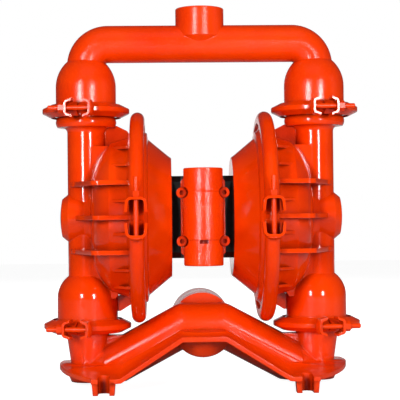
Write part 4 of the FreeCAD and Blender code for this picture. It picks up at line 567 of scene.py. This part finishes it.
class PumpStudio(bpy.types.PropertyGroup):
    """The camera, the lamps and the surroundings."""

    distance: bpy.props.FloatProperty(
        name="Camera Distance",
        description="From the pump's middle to the camera, along the ground",
        subtype="DISTANCE",
        unit="LENGTH",
        default=1.515,
    )
    side: bpy.props.FloatProperty(
        name="Camera Offset",
        description="How far the camera stands to the right of the pump's middle",
        subtype="DISTANCE",
        unit="LENGTH",
        default=-0.047,
    )
    height: bpy.props.FloatProperty(
        name="Camera Height",
        description="Height of the camera above the floor",
        subtype="DISTANCE",
        unit="LENGTH",
        default=0.201,
    )
    focal_length: bpy.props.FloatProperty(
        name="Focal Length",
        description="The lens, in millimetres on a 36 mm frame",
        unit="CAMERA",
        default=112.0,
        min=10.0,
    )
    aim_side: bpy.props.FloatProperty(
        name="Aim Offset",
        description="How far the picture's middle lies to the right of the pump's middle",
        subtype="DISTANCE",
        unit="LENGTH",
        default=-0.0015,
    )
    aim_height: bpy.props.FloatProperty(
        name="Aim Height",
        description="Height of the point in the picture's middle",
        subtype="DISTANCE",
        unit="LENGTH",
        default=0.2215,
    )
    roll: bpy.props.FloatProperty(
        name="Camera Roll",
        description="How far the camera leans about its own line of sight",
        subtype="ANGLE",
        unit="ROTATION",
        default=math.radians(-0.6),
    )
    left_turn: bpy.props.FloatProperty(
        name="Left Lamp Turn",
        description="How far the left lamp stands round from straight ahead of the pump",
        subtype="ANGLE",
        unit="ROTATION",
        default=math.radians(-23.9),
    )
    left_reach: bpy.props.FloatProperty(
        name="Left Lamp Distance",
        description="From the pump's middle to the left lamp, along the ground",
        subtype="DISTANCE",
        unit="LENGTH",
        default=1.71,
    )
    right_turn: bpy.props.FloatProperty(
        name="Right Lamp Turn",
        description="How far the right lamp stands round from straight ahead of the pump",
        subtype="ANGLE",
        unit="ROTATION",
        default=math.radians(23.3),
    )
    right_reach: bpy.props.FloatProperty(
        name="Right Lamp Distance",
        description="From the pump's middle to the right lamp, along the ground",
        subtype="DISTANCE",
        unit="LENGTH",
        default=1.9,
    )
    lamp_height: bpy.props.FloatProperty(
        name="Lamp Height",
        description="Height of the middle of both front lamps above the floor",
        subtype="DISTANCE",
        unit="LENGTH",
        default=0.47,
    )
    lamp_width: bpy.props.FloatProperty(
        name="Lamp Width",
        description="Width of each front lamp, which is an upright panel",
        subtype="DISTANCE",
        unit="LENGTH",
        default=0.17,
    )
    lamp_length: bpy.props.FloatProperty(
        name="Lamp Length",
        description="Length of each front lamp from its lower to its upper end",
        subtype="DISTANCE",
        unit="LENGTH",
        default=0.40,
    )
    lamp_power: bpy.props.FloatProperty(
        name="Lamp Power",
        description="Light of each front lamp",
        subtype="POWER",
        unit="POWER",
        default=18.5,
    )
    fill_power: bpy.props.FloatProperty(
        name="Fill Power",
        description="Light of the wide soft lamp high in front of the pump",
        subtype="POWER",
        unit="POWER",
        default=6.0,
    )
    side_power: bpy.props.FloatProperty(
        name="Side Power",
        description="Light of the tall panel at the right",
        subtype="POWER",
        unit="POWER",
        default=4.0,
    )
    rear_power: bpy.props.FloatProperty(
        name="Rear Power",
        description="Light of each wide lamp behind the pump",
        subtype="POWER",
        unit="POWER",
        default=15.0,
    )
    ambient: bpy.props.FloatProperty(
        name="Ambient",
        description="How bright the room is for the pump itself",
        default=0.05,
        min=0.0,
    )
    floor_glow: bpy.props.FloatProperty(
        name="Floor Glow",
        description="Share of the floor's white that it has without the lamps",
        subtype="FACTOR",
        default=0.93,
        min=0.0,
        max=1.0,
    )


def calculated(tree, operation, first, second):
    """The result of a math node's operation on two values."""
    inputs = {0: first, 1: second}
    return node(tree, "ShaderNodeMath", inputs, operation=operation).outputs[0]


def backdrop_ray(tree, depth, near, far):
    """1 for the rays that show the white backdrop, and 0 for the rest.

    They come from the camera, through glass, or off gloss to what lies behind the pump.
    """
    path = node(tree, "ShaderNodeLightPath").outputs
    span = {"Value": depth, "From Min": near, "From Max": far}
    behind = node(tree, "ShaderNodeMapRange", span, clamp=True).outputs["Result"]
    mirrored = calculated(tree, "MULTIPLY", path["Is Glossy Ray"], behind)
    straight = calculated(tree, "MAXIMUM", path["Is Camera Ray"], path["Is Transmission Ray"])
    return calculated(tree, "MAXIMUM", mirrored, straight)


def depth_of(tree, coordinate):
    """How far back a place or a direction lies."""
    place = node(tree, "ShaderNodeTexCoord").outputs[coordinate]
    return node(tree, "ShaderNodeSeparateXYZ", {"Vector": place}).outputs["Y"]


def add_lamp(name, place, aim, power, size):
    """A panel lamp at place that faces aim, and whose size is its width and its height."""
    data = bpy.data.lights.new(name, "AREA")
    data.shape = "RECTANGLE"
    data.size, data.size_y = size
    data.energy = power
    lamp = bpy.data.objects.new(name, data)
    lamp.location = place
    lamp.rotation_euler = (aim - Vector(place)).to_track_quat("-Z", "Y").to_euler()
    bpy.context.scene.collection.objects.link(lamp)
    return lamp


def add_floor(glow):
    """A plain white sheet under the feet, which keeps the pump's soft shadow."""
    edge = FLOOR_HALF_WIDTH
    gap_below_feet = 0.2 * MM
    tone_size = 0.4
    mesh = bpy.data.meshes.new("studio_floor")
    corners = [(-edge, -edge, 0), (edge, -edge, 0), (edge, edge, 0), (-edge, edge, 0)]
    mesh.from_pydata(corners, [], [(0, 1, 2, 3)])
    floor = bpy.data.objects.new("studio_floor", mesh)
    floor.location.z = -gap_below_feet
    bpy.context.scene.collection.objects.link(floor)
    material, tree, shader = new_material("studio_white_paper")
    tone = between(tree, noise(tree, tone_size, detail=2.0), 0.0, 1.0)
    paper = mixed(tree, tone, (0.42, 0.42, 0.42), (0.4, 0.4, 0.4))
    tree.links.new(paper, shader.inputs["Base Color"])
    shader.inputs["Roughness"].default_value = 0.9
    shader.inputs["Emission Color"].default_value = (1.0, 1.0, 1.0, 1.0)
    shown = backdrop_ray(tree, depth_of(tree, "Object"), *FLOOR_BEHIND)
    strength = calculated(tree, "MULTIPLY", shown, glow)
    tree.links.new(strength, shader.inputs["Emission Strength"])
    mesh.materials.append(material)


def set_world(ambient):
    """White where the background shows, and a quiet grey room for everything else."""
    world = bpy.data.worlds.new("studio_world")
    world.use_nodes = True
    tree = world.node_tree
    shown = backdrop_ray(tree, depth_of(tree, "Generated"), *WORLD_BEHIND)
    strength = node(tree, "ShaderNodeMapRange", {"Value": shown, "To Min": ambient})
    background = tree.nodes["Background"]
    background.inputs["Color"].default_value = (1.0, 1.0, 1.0, 1.0)
    tree.links.new(strength.outputs["Result"], background.inputs["Strength"])
    bpy.context.scene.world = world


def add_camera(studio):
    """The camera at its place, aimed and rolled."""
    data = bpy.data.cameras.new("camera")
    data.sensor_width = SENSOR_WIDTH
    data.lens = studio.focal_length
    data.dof.use_dof = False
    camera = bpy.data.objects.new("camera", data)
    camera.location = (studio.side, -studio.distance, studio.height)
    aim = Vector((studio.aim_side, 0.0, studio.aim_height)) - camera.location
    upright = aim.to_track_quat("-Z", "Y").to_matrix().to_4x4()
    camera.rotation_euler = (upright @ Matrix.Rotation(studio.roll, 4, "Z")).to_euler()
    bpy.context.scene.collection.objects.link(camera)
    return camera


class PUMP_OT_paint_outside(bpy.types.Operator):
    """Paint the castings, bands and hardware that show"""

    bl_idname = "pump.paint_outside"
    bl_label = "Paint Outside"

    def execute(self, context):
        settings = context.scene.pump_paint
        finishes = {slot: paint(settings, **values) for slot, values in ENAMELS.items()}
        if not finish_nodes(finishes):
            raise RuntimeError("no painted node was found")
        return {"FINISHED"}


class PUMP_OT_finish_inside(bpy.types.Operator):
    """Finish the centre section's black pieces, the seals, the shafts and the valves"""

    bl_idname = "pump.finish_inside"
    bl_label = "Finish Inside"

    def execute(self, context):
        finishes = {slot: rubber(**values) for slot, values in RUBBERS.items()}
        finishes.update({slot: metal(**values) for slot, values in METALS.items()})
        if not finish_nodes(finishes):
            raise RuntimeError("no inner node was found")
        return {"FINISHED"}


class PUMP_OT_cast_inlet(bpy.types.Operator):
    """Run the inlet arms across the front of the inlet port"""

    bl_idname = "pump.cast_inlet"
    bl_label = "Cast Inlet"

    def execute(self, context):
        mesh = inlet_front_mesh()
        if not mesh.polygons:
            raise RuntimeError("the inlet casting came out empty")
        casting = new_piece("inlet_casting", mesh, "pump_housing")
        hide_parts("inlet_manifold")
        return {"FINISHED"}


class PUMP_OT_set_studio(bpy.types.Operator):
    """Set the floor, the lamps, the white room and the camera"""

    bl_idname = "pump.set_studio"
    bl_label = "Set Studio"

    def execute(self, context):
        studio = context.scene.pump_studio
        low, high = (Vector(corner) for corner in CAD_BOX)
        middle = Vector((0.0, 0.0, (low.z + high.z) / 2))
        size = (studio.lamp_width, studio.lamp_length)
        for name, turn, reach in (
            ("left_lamp", studio.left_turn, studio.left_reach),
            ("right_lamp", studio.right_turn, studio.right_reach),
        ):
            place = (reach * math.sin(turn), -reach * math.cos(turn), studio.lamp_height)
            add_lamp(name, place, middle, studio.lamp_power, size)
        for name, place, power, size in SOFT_LAMPS:
            soft = add_lamp(name, place, middle, getattr(studio, power), size)
            soft.visible_glossy = False
        add_floor(studio.floor_glow)
        set_world(studio.ambient)
        context.scene.camera = add_camera(studio)
        context.scene.view_settings.view_transform = "Standard"
        return {"FINISHED"}


class PUMP_PT_sidebar(bpy.types.Panel):
    """Lists the steps and the values that they use"""

    bl_idname = "PUMP_PT_sidebar"
    bl_label = "Diaphragm Pump"
    bl_space_type = "VIEW_3D"
    bl_region_type = "UI"
    bl_category = "Pump"

    def draw(self, context):
        for settings in (context.scene.pump_paint, context.scene.pump_studio):
            box = self.layout.box()
            for name in settings.__annotations__:
                box.prop(settings, name)
        for step in STEPS:
            self.layout.operator(step.bl_idname)


STEPS = (
    PUMP_OT_paint_outside,
    PUMP_OT_finish_inside,
    PUMP_OT_cast_inlet,
    PUMP_OT_set_studio,
)
CLASSES = (PumpPaint, PumpStudio, *STEPS, PUMP_PT_sidebar)


def register():
    for item in CLASSES:
        bpy.utils.register_class(item)
    bpy.types.Scene.pump_paint = bpy.props.PointerProperty(type=PumpPaint)
    bpy.types.Scene.pump_studio = bpy.props.PointerProperty(type=PumpStudio)


def unregister():
    del bpy.types.Scene.pump_studio
    del bpy.types.Scene.pump_paint
    for item in reversed(CLASSES):
        bpy.utils.unregister_class(item)


def main():
    register()
    bpy.ops.pump.paint_outside()
    bpy.ops.pump.finish_inside()
    bpy.ops.pump.cast_inlet()
    bpy.ops.pump.set_studio()


if __name__ == "__main__":
    main()
